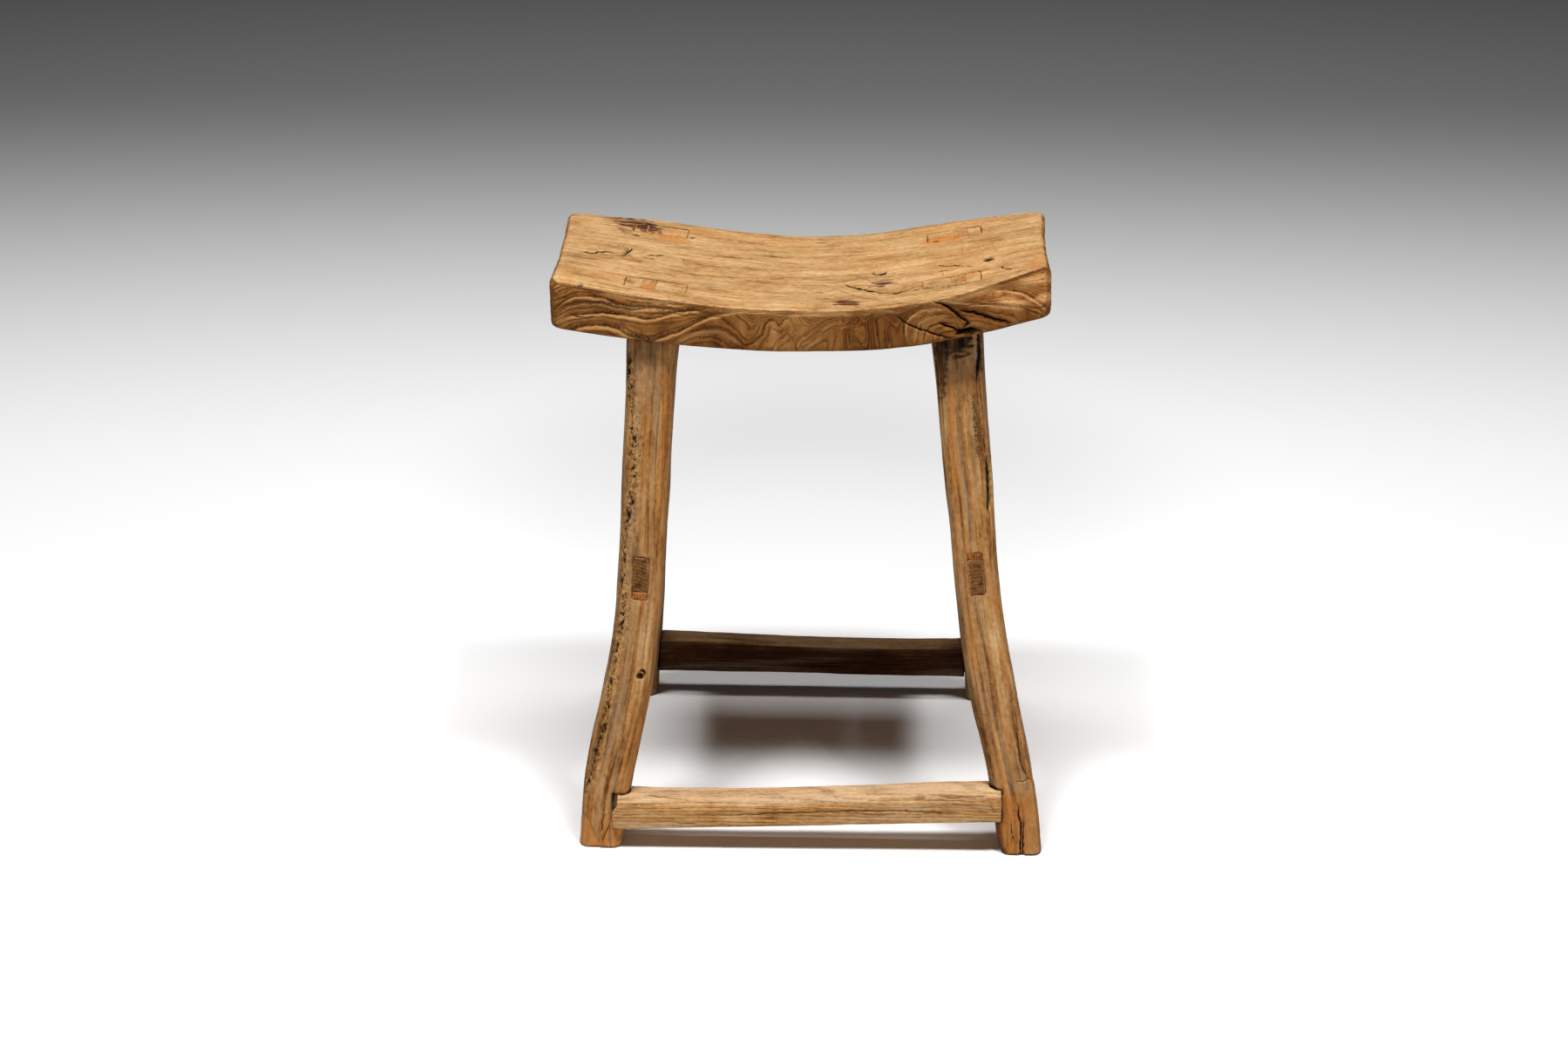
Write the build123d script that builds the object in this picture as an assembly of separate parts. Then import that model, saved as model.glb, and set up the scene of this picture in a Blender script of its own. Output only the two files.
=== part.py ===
from build123d import *
import os
from typing import NamedTuple

# A country saddle stool of old elm, in millimetres.
# X runs along the seat from left to right, Y from its front edge to its back edge, and Z is up.
# The origin is on the floor, under the middle of the stool.

# Seat: a plank with its ends swept up, a little longer behind than in front.
SEAT_HEIGHT = 485.5
FRONT_EDGE_LIFT = 2.0
SEAT_THICKNESS = 36.0
LEFT_END_THICKNESS = 43.0
RIGHT_END_THICKNESS = 38.0
BACK_LEFT_REACH = 219.0
BACK_RIGHT_REACH = 218.5
FRONT_LEFT_REACH = 207.5
FRONT_RIGHT_REACH = 208.5
LOW_PLACE_OFF_CENTRE = 9.5
BACK_LEFT_RISE = 22.5
BACK_RIGHT_RISE = 27.0
FRONT_LEFT_RISE = 24.0
FRONT_RIGHT_RISE = 34.0
BACK_EDGE_MIDDLE = 118.5
BACK_EDGE_ENDS = 112.5
FRONT_EDGE_MIDDLE = 119.5
FRONT_EDGE_ENDS = 112.0
END_HOLLOW = 2.5
SEAT_CORNER_RADIUS = 11.0
SEAT_TOP_ROUNDING = 6.0
SEAT_UNDER_ROUNDING = 4.5

# How far a seat curve has risen, at these shares of the way from its low place to its end.
WAY_SHARES = (0.33, 0.66, 1.0)
BACK_RISE_SHARES = (0.23, 0.66, 1.0)
FRONT_RISE_SHARES = (0.10, 0.45, 1.0)

# Front right corner of the seat, worn to a slope that starts at the front edge and widens to the end.
SLOPE_START = 96.5
SLOPE_START_RISE = 9.0
SLOPE_TOP_SETBACK = 30.0
SLOPE_END_HEIGHT = 4.0
SLOPE_ROUNDING = 4.0

# Legs: foot and tenon places are the middles of each.
FRONT_FEET_APART = 376.0
FRONT_FEET_OFF_CENTRE = 13.0
REAR_FEET_APART = 354.0
REAR_FEET_OFF_CENTRE = 7.0
FEET_FRONT_TO_REAR = 295.0
FRONT_TENONS_APART = 250.5
FRONT_TENONS_OFF_CENTRE = 3.75
REAR_TENONS_APART = 267.0
REAR_TENONS_OFF_CENTRE = 2.5
LEFT_TENONS_FRONT_TO_REAR = 166.0
RIGHT_TENONS_FRONT_TO_REAR = 146.0
LEFT_FOOT_SWEEP = 23.0
RIGHT_FOOT_SWEEP = 19.0
KNEE_HEIGHT = 230.0
LEG_WIDTH = 42.0
LEG_DEPTH = 40.0
LEG_CORNER_RADIUS = 9.0
FOOT_ROUNDING = 2.5

# Leg widths, at even steps from the floor to the seat's lowest height.
FRONT_LEFT_WIDTH_SHARES = (0.92, 1.02, 1.04, 0.97, 0.94, 0.94, 0.94, 0.99, 1.07)
FRONT_RIGHT_WIDTH_SHARES = (0.86, 0.94, 0.99, 0.96, 0.90, 0.93, 0.97, 0.98, 1.0)
REAR_WIDTH_SHARES = (0.97, 0.96, 0.96, 0.95, 0.95, 0.95, 0.95, 0.96, 0.98)

# Leg tenons: as wide as the leg but for a small side shoulder, and split by a wedge from above.
TENON_SIDE_SHOULDER = 1.5
TENON_CHEEK_SHOULDER = 7.5
SAW_KERF = 2.0
SEAT_WEDGE_HEAD = 9.0
SEAT_WEDGE_LENGTH = 32.0
SEAT_WEDGE_OUTWARD = 6.0

# Side stretchers, from each front leg to the rear leg behind it, with tenons right through both.
SIDE_STRETCHER_HEIGHT = 253.0
SIDE_STRETCHER_WIDTH = 24.0
SIDE_STRETCHER_TALL = 39.0
SIDE_STRETCHER_ROUNDING = 4.0
SIDE_TENON_WIDTH = 13.0
SIDE_TENON_TALL = 31.0
SIDE_WEDGE_HEAD = 6.0
SIDE_WEDGE_TIP = 1.2
SIDE_WEDGE_LENGTH = 30.0

# Low stretchers: the front one stands forward of its legs' middles and laps over their corners.
FRONT_STRETCHER_FORWARD = 10.5
FRONT_STRETCHER_DEPTH = 26.0
FRONT_STRETCHER_LAP_LEFT = 10.0
FRONT_STRETCHER_LAP_RIGHT = 6.0
FRONT_STRETCHER_UNDER_LEFT = 19.5
FRONT_STRETCHER_UNDER_RIGHT = 32.0
FRONT_STRETCHER_TALL = 33.0
FRONT_STRETCHER_WEAR = 5.5
FRONT_STRETCHER_ARRIS = 10.0
REAR_STRETCHER_DEPTH = 24.0
REAR_STRETCHER_UNDER_LEFT = 26.5
REAR_STRETCHER_UNDER_RIGHT = 24.0
REAR_STRETCHER_TALL = 36.5
REAR_STRETCHER_WEAR = 4.5
REAR_STRETCHER_ARRIS = 4.0
LOW_STRETCHER_ROUNDING = 3.0
LOW_TENON_THICKNESS = 11.0
LOW_TENON_TALL = 20.0
LOW_TENON_LENGTH = 27.0

# How deep the feet of the sitter have worn a low stretcher, at shares of its length.
SPAN_SHARES = (0.0, 0.3, 0.55, 0.8, 1.0)
FRONT_WEAR_SHARES = (0.0, 1.0, 0.95, 0.6, 0.5)
REAR_WEAR_SHARES = (0.0, 0.55, 1.0, 0.9, 0.0)

# Empty peg hole in the left front leg.
PEG_HOLE_DIAMETER = 5.5
PEG_HOLE_HEIGHT = 161.0
PEG_HOLE_DEPTH = 18.0
PEG_HOLE_INWARD = 10.0

# Clearances: the gap left round every joint, and how far blanks and cutters run past what they meet.
JOINT_GAP = 0.2
OVERRUN = 20.0


class Leg(NamedTuple):
    """One leg: which side and end it stands at, the middles of its foot and head, and its shape."""
    side: int
    end: int
    foot: tuple
    head: tuple
    sweep: float
    width_shares: tuple


def plan_leg(side, end):
    """Lay out a leg: side is -1 left or 1 right, end is -1 front or 1 rear."""
    feet_apart = FRONT_FEET_APART if end < 0 else REAR_FEET_APART
    feet_middle = FRONT_FEET_OFF_CENTRE if end < 0 else REAR_FEET_OFF_CENTRE
    tenons_apart = FRONT_TENONS_APART if end < 0 else REAR_TENONS_APART
    tenons_middle = FRONT_TENONS_OFF_CENTRE if end < 0 else REAR_TENONS_OFF_CENTRE
    front_to_rear = LEFT_TENONS_FRONT_TO_REAR if side < 0 else RIGHT_TENONS_FRONT_TO_REAR
    foot = (feet_middle + side * feet_apart / 2, end * FEET_FRONT_TO_REAR / 2)
    head = (tenons_middle + side * tenons_apart / 2, end * front_to_rear / 2)
    if end > 0:
        return Leg(side, end, foot, head, 0.0, REAR_WIDTH_SHARES)
    if side < 0:
        return Leg(side, end, foot, head, LEFT_FOOT_SWEEP, FRONT_LEFT_WIDTH_SHARES)
    return Leg(side, end, foot, head, RIGHT_FOOT_SWEEP, FRONT_RIGHT_WIDTH_SHARES)


def leg_middle(leg, height):
    """The middle of a leg at a height: a lean, and for a front leg a sweep out under the knee."""
    lean_share = 1.0 - height / SEAT_HEIGHT
    sweep_way = max(0.0, 1.0 - height / KNEE_HEIGHT)
    sweep = leg.sweep * (sweep_way ** 2 * (3.0 - 2.0 * sweep_way) - lean_share)
    x = leg.head[0] + (leg.foot[0] - leg.head[0]) * lean_share + leg.side * sweep
    y = leg.head[1] + (leg.foot[1] - leg.head[1]) * lean_share
    return Vector(x, y, height)


def leg_blank(leg, grown=0.0):
    """The leg before its joints are cut, from the floor to the seat's lowest height."""
    sections = []
    for step, width_share in enumerate(leg.width_shares):
        height = SEAT_HEIGHT * step / (len(leg.width_shares) - 1)
        width = LEG_WIDTH * width_share + 2 * grown
        outline = RectangleRounded(width, LEG_DEPTH + 2 * grown, LEG_CORNER_RADIUS + grown)
        sections.append(Pos(leg_middle(leg, height)) * outline)
    return loft(sections)


def half_edge(low, end_x, rise, rise_shares):
    """Half of a long curve of the seat, from its low place past one end, where it runs on straight."""
    points = [
        low + Vector((end_x - low.X) * way, 0, rise * rise_share)
        for way, rise_share in zip(WAY_SHARES, rise_shares)
    ]
    return points + [points[-1] + (points[-1] - points[-2]).normalized() * OVERRUN]


def seat_edge(y, low_z, left_reach, right_reach, left_rise, right_rise, rise_shares):
    """One long curve of the seat, from past its left end through its low place to past its right."""
    low = Vector(LOW_PLACE_OFF_CENTRE, y, low_z)
    left = half_edge(low, -left_reach, left_rise, rise_shares)
    right = half_edge(low, right_reach, right_rise, rise_shares)
    return left[::-1] + [low] + right


def seat_section(y, low_z, left_reach, right_reach, left_rise, right_rise, rise_shares, drop):
    """The seat's outline seen from the front, at its back or front edge, its underside dropped."""
    top = seat_edge(y, low_z, left_reach, right_reach, left_rise, right_rise, rise_shares)
    under = seat_edge(
        y,
        low_z - SEAT_THICKNESS - drop,
        left_reach,
        right_reach,
        left_rise - (LEFT_END_THICKNESS - SEAT_THICKNESS),
        right_rise - (RIGHT_END_THICKNESS - SEAT_THICKNESS),
        FRONT_RISE_SHARES,
    )
    edges = [
        Spline(top),
        Line(top[-1], under[-1]),
        Spline(under[::-1]),
        Line(under[0], top[0]),
    ]
    return Wire(edges)


def seat_slab(drop=0.0):
    """The bent plank, past its edges all round, with its underside dropped to reach further down."""
    back = seat_section(
        BACK_EDGE_MIDDLE + OVERRUN,
        SEAT_HEIGHT,
        BACK_LEFT_REACH,
        BACK_RIGHT_REACH,
        BACK_LEFT_RISE,
        BACK_RIGHT_RISE,
        BACK_RISE_SHARES,
        drop,
    )
    front = seat_section(
        -FRONT_EDGE_MIDDLE - OVERRUN,
        SEAT_HEIGHT + FRONT_EDGE_LIFT,
        FRONT_LEFT_REACH,
        FRONT_RIGHT_REACH,
        FRONT_LEFT_RISE,
        FRONT_RIGHT_RISE,
        FRONT_RISE_SHARES,
        drop,
    )
    return Solid.make_loft([back, front], ruled=True)


def seat_plan():
    """The seat seen from above: bowed front and back edges, and slightly hollow ends."""
    back_left = Vector(-BACK_LEFT_REACH, BACK_EDGE_ENDS)
    back_right = Vector(BACK_RIGHT_REACH, BACK_EDGE_ENDS)
    front_left = Vector(-FRONT_LEFT_REACH, -FRONT_EDGE_ENDS)
    front_right = Vector(FRONT_RIGHT_REACH, -FRONT_EDGE_ENDS)
    left_middle = (back_left + front_left) / 2 + Vector(END_HOLLOW, 0)
    right_middle = (back_right + front_right) / 2 - Vector(END_HOLLOW, 0)
    edges = [
        ThreePointArc(back_left, (0, BACK_EDGE_MIDDLE), back_right),
        ThreePointArc(back_right, right_middle, front_right),
        ThreePointArc(front_right, (0, -FRONT_EDGE_MIDDLE), front_left),
        ThreePointArc(front_left, left_middle, back_left),
    ]
    plan = make_face(edges)
    return fillet(plan.vertices(), SEAT_CORNER_RADIUS)


def worn_slope():
    """The plane of the worn front right corner."""
    low = SEAT_HEIGHT + FRONT_EDGE_LIFT
    start = Vector(SLOPE_START, -FRONT_EDGE_MIDDLE, low + SLOPE_START_RISE)
    end_top = Vector(FRONT_RIGHT_REACH, SLOPE_TOP_SETBACK - FRONT_EDGE_ENDS, low + FRONT_RIGHT_RISE)
    end_under = end_top + Vector(0, -SLOPE_TOP_SETBACK, SLOPE_END_HEIGHT - RIGHT_END_THICKNESS)
    outward = (end_under - start).cross(end_top - start)
    return Plane(origin=start, x_dir=end_under - start, z_dir=outward)


def broad_face(seat, which):
    """One of the seat's two broad faces: 0 is its underside and 1 its top."""
    return ShapeList(seat.faces().sort_by(SortBy.AREA)[-2:]).sort_by(Axis.Z)[which]


def make_seat(legs):
    """The seat: the plank cut to its plan, rounded, sloped at its worn corner and mortised."""
    seat = seat_slab() & extrude(seat_plan(), amount=SEAT_HEIGHT + FRONT_RIGHT_RISE + OVERRUN)
    seat = fillet(broad_face(seat, 1).edges(), SEAT_TOP_ROUNDING)
    seat = fillet(broad_face(seat, 0).edges(), SEAT_UNDER_ROUNDING)
    seat = split(seat, bisect_by=worn_slope(), keep=Keep.BOTTOM)
    seat = fillet(seat.faces().filter_by(worn_slope()).edges(), SLOPE_ROUNDING)
    for leg in legs:
        seat -= leg_tenon_bar(leg, JOINT_GAP)
    return seat


def tenon_plane(leg):
    """The plane square to a leg's tenon, where its middle meets the lowest height of the seat's top."""
    head = leg_middle(leg, SEAT_HEIGHT)
    below = leg_middle(leg, SEAT_HEIGHT - SEAT_THICKNESS)
    along = head - below
    across = Vector(along.Z, 0, -along.X)
    return Plane(origin=head, x_dir=across, z_dir=along)


def leg_tenon_bar(leg, grown=0.0):
    """The tenon through the seat, flared in its length by the wedge, and run past both faces."""
    flare = SEAT_WEDGE_HEAD - SAW_KERF
    width_at_shoulder = LEG_WIDTH * leg.width_shares[-1] - 2 * TENON_SIDE_SHOULDER
    depth = LEG_DEPTH - 2 * TENON_CHEEK_SHOULDER + 2 * grown
    plane = tenon_plane(leg)
    sections = []
    for height in (-SEAT_THICKNESS - OVERRUN, -SEAT_THICKNESS, FRONT_RIGHT_RISE + OVERRUN):
        flare_share = max(0.0, 1.0 + height / SEAT_THICKNESS)
        width = width_at_shoulder + flare * flare_share + 2 * grown
        sections.append(plane.offset(height) * Rectangle(width, depth))
    return loft(sections, ruled=True)


def seat_wedge_bar(leg, grown=0.0):
    """The wedge that splits a leg's tenon, from the kerf's bottom to above the seat."""
    depth = LEG_DEPTH - 2 * TENON_CHEEK_SHOULDER
    plane = tenon_plane(leg).shift_origin(
        tenon_plane(leg).from_local_coords(Vector(leg.side * SEAT_WEDGE_OUTWARD, 0, 0))
    )
    slope = (SEAT_WEDGE_HEAD - SAW_KERF) / SEAT_WEDGE_LENGTH
    sections = []
    for height in (-SEAT_WEDGE_LENGTH - grown, FRONT_RIGHT_RISE + OVERRUN):
        thickness = SEAT_WEDGE_HEAD + slope * height + 2 * grown
        sections.append(plane.offset(height) * Rectangle(thickness, depth + 2 * grown))
    return loft(sections, ruled=True)


def make_seat_wedge(leg):
    """A wedge in a leg's tenon, pared flush with the seat's top."""
    return seat_wedge_bar(leg) & seat_slab(drop=OVERRUN)


def stretcher_plane(front_leg, rear_leg):
    """The plane square to a side stretcher at its middle, its upright leaning as the legs do."""
    front = leg_middle(front_leg, SIDE_STRETCHER_HEIGHT)
    rear = leg_middle(rear_leg, SIDE_STRETCHER_HEIGHT)
    above = leg_middle(front_leg, SEAT_HEIGHT)
    upright = Vector(above.X - front.X, 0, above.Z - front.Z)
    return Plane(origin=(front + rear) / 2, x_dir=upright.cross(front - rear), z_dir=front - rear)


def side_bar(front_leg, rear_leg, outline, length):
    """A bar along a side stretcher's line, of the given outline, both ways from its middle."""
    plane = stretcher_plane(front_leg, rear_leg)
    return extrude(plane * outline, amount=length / 2, both=True)


def side_tenon_bar(front_leg, rear_leg, grown=0.0):
    """The through tenon of a side stretcher, run past the outside faces of both legs."""
    outline = Rectangle(SIDE_TENON_WIDTH + 2 * grown, SIDE_TENON_TALL + 2 * grown)
    return side_bar(front_leg, rear_leg, outline, FEET_FRONT_TO_REAR + LEG_DEPTH)


def wedge_level(leg):
    """Which side of the tenon its wedge is on: under it in the left front leg, above it elsewhere."""
    return -1 if leg.side < 0 and leg.end < 0 else 1


def side_wedge_bar(front_leg, rear_leg, leg, grown=0.0):
    """The wedge beside a through tenon, thick where it is driven in from outside the leg."""
    plane = stretcher_plane(front_leg, rear_leg)
    middle = leg_middle(leg, SIDE_STRETCHER_HEIGHT)
    outward = -leg.end
    level = wedge_level(leg)
    reach = abs(plane.to_local_coords(middle).Z)
    face = reach + LEG_DEPTH / 2
    inner = face - SIDE_WEDGE_LENGTH
    slope = (SIDE_WEDGE_HEAD - SIDE_WEDGE_TIP) / SIDE_WEDGE_LENGTH
    sections = []
    for way in (inner - grown, face + OVERRUN):
        thickness = SIDE_WEDGE_TIP + slope * (way - inner)
        lift = SIDE_TENON_TALL / 2 + JOINT_GAP + thickness / 2
        section = Rectangle(SIDE_TENON_WIDTH + 2 * grown, thickness + 2 * grown)
        sections.append(plane.offset(outward * way) * Pos(0, level * lift) * section)
    return loft(sections, ruled=True)


def make_side_wedge(front_leg, rear_leg, leg):
    """A wedge beside a side stretcher's tenon, pared flush with the leg."""
    return side_wedge_bar(front_leg, rear_leg, leg) & leg_blank(leg)


def make_side_stretcher(front_leg, rear_leg):
    """A side stretcher: a bar scribed to both legs, with its tenons flush outside them."""
    outline = RectangleRounded(SIDE_STRETCHER_WIDTH, SIDE_STRETCHER_TALL, SIDE_STRETCHER_ROUNDING)
    front = leg_middle(front_leg, SIDE_STRETCHER_HEIGHT)
    rear = leg_middle(rear_leg, SIDE_STRETCHER_HEIGHT)
    bar = side_bar(front_leg, rear_leg, outline, abs(front - rear))
    tenons = side_tenon_bar(front_leg, rear_leg)
    core = tenons & bar
    for leg in (front_leg, rear_leg):
        core += tenons & leg_blank(leg)
        bar -= leg_blank(leg, JOINT_GAP)
    return bar + core


def stretcher_section(depth, height, arris):
    """A low stretcher's section: feet have rounded its top front arris more than the others."""
    outline = Rectangle(depth, height)
    worn = min(outline.vertices(), key=lambda corner: corner.X - corner.Y)
    outline = fillet(worn, arris)
    others = sorted(outline.vertices(), key=lambda corner: abs(corner.X) + abs(corner.Y))[-3:]
    return fillet(others, LOW_STRETCHER_ROUNDING)


def low_stretcher_bar(left_leg, right_leg, forward, depth, unders, tall, wear, arris, wear_shares, laps):
    """A low stretcher's bar with its worn top, run on into its legs or lapping their corners."""
    left_end = leg_middle(left_leg, unders[0]) + Vector(LEG_WIDTH / 2 - laps[0], 0, 0)
    right_end = leg_middle(right_leg, unders[1]) - Vector(LEG_WIDTH / 2 - laps[1], 0, 0)
    sections = []
    for span_share, wear_share in zip(SPAN_SHARES, wear_shares):
        place = left_end + (right_end - left_end) * span_share
        height = tall - wear * wear_share
        plane = Plane(
            origin=place + Vector(0, -forward, height / 2),
            x_dir=Vector(0, 1, 0),
            z_dir=Vector(1, 0, 0),
        )
        sections.append(plane * stretcher_section(depth, height, arris))
    return loft(sections)


def low_tenon(leg, under, tall, back, grown=0.0):
    """The blind tenon of a low stretcher in one leg, from between the legs into the leg's middle."""
    middle = leg_middle(leg, under + tall / 2)
    inner_face = middle.X - leg.side * LEG_WIDTH / 2
    tip = inner_face + leg.side * (LOW_TENON_LENGTH + grown)
    root = inner_face - leg.side * OVERRUN
    box = Box(abs(tip - root), LOW_TENON_THICKNESS + 2 * grown, LOW_TENON_TALL + 2 * grown)
    return Pos((tip + root) / 2, middle.Y + back, middle.Z) * box


def front_tenon(leg, grown=0.0):
    """A tenon of the front stretcher, on the rear half of its bar, well inside the leg."""
    under = FRONT_STRETCHER_UNDER_LEFT if leg.side < 0 else FRONT_STRETCHER_UNDER_RIGHT
    back = (FRONT_STRETCHER_DEPTH - LOW_TENON_THICKNESS) / 2 - FRONT_STRETCHER_FORWARD
    return low_tenon(leg, under, FRONT_STRETCHER_TALL - FRONT_STRETCHER_WEAR, back, grown)


def rear_tenon(leg, grown=0.0):
    """A tenon of the rear stretcher, in the middle of its bar."""
    under = REAR_STRETCHER_UNDER_LEFT if leg.side < 0 else REAR_STRETCHER_UNDER_RIGHT
    return low_tenon(leg, under, REAR_STRETCHER_TALL - REAR_STRETCHER_WEAR, 0.0, grown)


def make_front_stretcher(left_leg, right_leg):
    """The front stretcher: its ends lap over the corners of the legs and are scribed to them."""
    bar = low_stretcher_bar(
        left_leg,
        right_leg,
        FRONT_STRETCHER_FORWARD,
        FRONT_STRETCHER_DEPTH,
        (FRONT_STRETCHER_UNDER_LEFT, FRONT_STRETCHER_UNDER_RIGHT),
        FRONT_STRETCHER_TALL,
        FRONT_STRETCHER_WEAR,
        FRONT_STRETCHER_ARRIS,
        FRONT_WEAR_SHARES,
        (FRONT_STRETCHER_LAP_LEFT, FRONT_STRETCHER_LAP_RIGHT),
    )
    for leg in (left_leg, right_leg):
        bar -= leg_blank(leg, JOINT_GAP)
    return bar + front_tenon(left_leg) + front_tenon(right_leg)


def make_rear_stretcher(left_leg, right_leg):
    """The rear stretcher: its ends butt on the legs' inner faces."""
    bar = low_stretcher_bar(
        left_leg,
        right_leg,
        0.0,
        REAR_STRETCHER_DEPTH,
        (REAR_STRETCHER_UNDER_LEFT, REAR_STRETCHER_UNDER_RIGHT),
        REAR_STRETCHER_TALL,
        REAR_STRETCHER_WEAR,
        REAR_STRETCHER_ARRIS,
        REAR_WEAR_SHARES,
        (LEG_WIDTH / 2, LEG_WIDTH / 2),
    )
    for leg in (left_leg, right_leg):
        bar -= leg_blank(leg, JOINT_GAP)
    return bar + rear_tenon(left_leg) + rear_tenon(right_leg)


def peg_hole(leg):
    """The empty peg hole, bored square into the front of the left front leg."""
    middle = leg_middle(leg, PEG_HOLE_HEIGHT)
    front = middle.Y - LEG_DEPTH / 2
    drill = Cylinder(PEG_HOLE_DIAMETER / 2, PEG_HOLE_DEPTH + OVERRUN, rotation=(90, 0, 0))
    return Pos(middle.X + PEG_HOLE_INWARD, front + (PEG_HOLE_DEPTH - OVERRUN) / 2, middle.Z) * drill


def make_leg(leg, front_leg, rear_leg):
    """A leg with its split tenon, its shoulder under the seat, and the mortises of two stretchers."""
    body = leg_blank(leg) - seat_slab(drop=JOINT_GAP)
    tenon = leg_tenon_bar(leg) & seat_slab(drop=OVERRUN)
    body = body + tenon - seat_wedge_bar(leg, JOINT_GAP)
    body -= side_tenon_bar(front_leg, rear_leg, JOINT_GAP)
    body -= side_wedge_bar(front_leg, rear_leg, leg, JOINT_GAP)
    body -= front_tenon(leg, JOINT_GAP) if leg.end < 0 else rear_tenon(leg, JOINT_GAP)
    if leg.side < 0 and leg.end < 0:
        body -= peg_hole(leg)
    return fillet(body.faces().sort_by(Axis.Z)[0].edges(), FOOT_ROUNDING)


def make_parts():
    """Every piece of the stool, by name."""
    ends = {"front": -1, "rear": 1}
    sides = {"left": -1, "right": 1}
    legs = {(end, side): plan_leg(sides[side], ends[end]) for end in ends for side in sides}
    parts = {"seat": make_seat(legs.values())}
    for side in sides:
        pair = (legs["front", side], legs["rear", side])
        parts[f"stretcher_{side}"] = make_side_stretcher(*pair)
        for end in ends:
            leg = legs[end, side]
            parts[f"leg_{end}_{side}"] = make_leg(leg, *pair)
            parts[f"seat_wedge_{end}_{side}"] = make_seat_wedge(leg)
            parts[f"side_wedge_{end}_{side}"] = make_side_wedge(*pair, leg)
    parts["stretcher_front"] = make_front_stretcher(legs["front", "left"], legs["front", "right"])
    parts["stretcher_rear"] = make_rear_stretcher(legs["rear", "left"], legs["rear", "right"])
    return parts


os.makedirs("parts", exist_ok=True)
for name, part in make_parts().items():
    solids = part.solids()
    print(f"{name}: {len(solids)} solid, {sum(solid.volume for solid in solids):.0f} cubic millimetres")
    export_step(part, f"parts/{name}.step")
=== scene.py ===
# %% [markdown]
# # A saddle stool of old elm
# This lesson dresses a country stool for its picture. The stool was first built as solid wood parts, one
# for each piece that the joiner made, and they come in here as a fixed frame. Nothing is moved: every piece
# of weathered wood that is made below stands just where its plain solid stands.

# %% Load the stool's solid parts
import math
import bpy
import numpy as np
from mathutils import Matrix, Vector
from mathutils.bvhtree import BVHTree


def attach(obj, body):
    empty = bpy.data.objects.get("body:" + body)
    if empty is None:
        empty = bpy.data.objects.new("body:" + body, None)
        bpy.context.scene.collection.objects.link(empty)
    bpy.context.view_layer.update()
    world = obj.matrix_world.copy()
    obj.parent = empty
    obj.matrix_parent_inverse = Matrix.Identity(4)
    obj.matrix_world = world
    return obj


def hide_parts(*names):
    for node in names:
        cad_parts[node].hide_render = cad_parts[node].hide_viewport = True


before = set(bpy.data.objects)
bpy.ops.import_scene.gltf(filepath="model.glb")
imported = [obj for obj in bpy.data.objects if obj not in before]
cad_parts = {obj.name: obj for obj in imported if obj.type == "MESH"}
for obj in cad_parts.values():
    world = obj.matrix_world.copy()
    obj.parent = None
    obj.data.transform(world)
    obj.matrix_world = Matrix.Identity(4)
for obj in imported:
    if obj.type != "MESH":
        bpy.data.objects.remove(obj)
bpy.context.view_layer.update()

print("solid parts:", ", ".join(sorted(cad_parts)))

# %% [markdown]
# ## The camera
# The picture was taken from a little above, so that the dished seat is seen into, and almost square on. The
# camera's place comes first, because the marks that years of use left on the wood are set out below by
# where the picture shows them.

# %% Camera
PICTURE_WIDE = 1799
PICTURE_HIGH = 1200
SENSOR_WIDTH = 36.0
FOCAL_PIXELS = 2560
CAMERA_PLACE = (0.0496, -1.88046, 1.04555)
CAMERA_PITCH = math.radians(23)
CAMERA_TURN = math.radians(2)

camera_data = bpy.data.cameras.new("camera")
camera_data.sensor_width = SENSOR_WIDTH
camera_data.lens = SENSOR_WIDTH * FOCAL_PIXELS / PICTURE_WIDE
camera_data.clip_end = 50
camera = bpy.data.objects.new("camera", camera_data)
camera.location = CAMERA_PLACE
camera.rotation_euler = (math.pi / 2 - CAMERA_PITCH, 0, CAMERA_TURN)
bpy.context.scene.collection.objects.link(camera)
bpy.context.scene.camera = camera
print("lens:", round(camera_data.lens, 2), "mm")


# %% [markdown]
# The camera also works the other way round: it says at which pixel of the picture a place on the stool
# shows. The marks on the wood are placed by such pixels.

# %% Where the picture shows a place
def seen(places):
    """Where the picture shows places that are given in metres: columns across and down, in pixels."""
    axes = np.array(camera.rotation_euler.to_matrix())
    local = (places - np.array(CAMERA_PLACE)) @ axes
    across = PICTURE_WIDE / 2 + FOCAL_PIXELS * local[:, 0] / -local[:, 2]
    down = PICTURE_HIGH / 2 + FOCAL_PIXELS * local[:, 1] / local[:, 2]
    return np.column_stack((across, down))


print("the floor under the stool shows at", seen(np.zeros((1, 3)))[0].round(), "pixels")

# %% [markdown]
# ## Chance in old wood
# Wood that has dried, split and been rubbed for a century has no straight line left, but its unevenness is
# not pure noise either: it is stretched along the grain. This helper gives soft random hills and hollows.
# It works them out from the place alone, so they come out the same on every run.

# %% Soft random hills
CELL_PRIMES = (np.uint32(73856093), np.uint32(19349663), np.uint32(83492791))
SEED_PRIME = 7919
STIR_FIRST = np.uint32(2246822519)
STIR_AGAIN = np.uint32(3266489917)
SLOPE_STEPS = 1023
SLOPE_BITS = (0, 10, 20)
HILL_HEIGHT = 1.7


def scatter(x, y, z, seed):
    """A random whole number for each cell of space, the same every time."""
    mixed = x * CELL_PRIMES[0] ^ y * CELL_PRIMES[1] ^ z * CELL_PRIMES[2]
    mixed ^= np.uint32(seed * SEED_PRIME + 17)
    mixed = (mixed ^ mixed >> np.uint32(15)) * STIR_FIRST
    mixed = (mixed ^ mixed >> np.uint32(13)) * STIR_AGAIN
    return mixed ^ mixed >> np.uint32(16)


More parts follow.
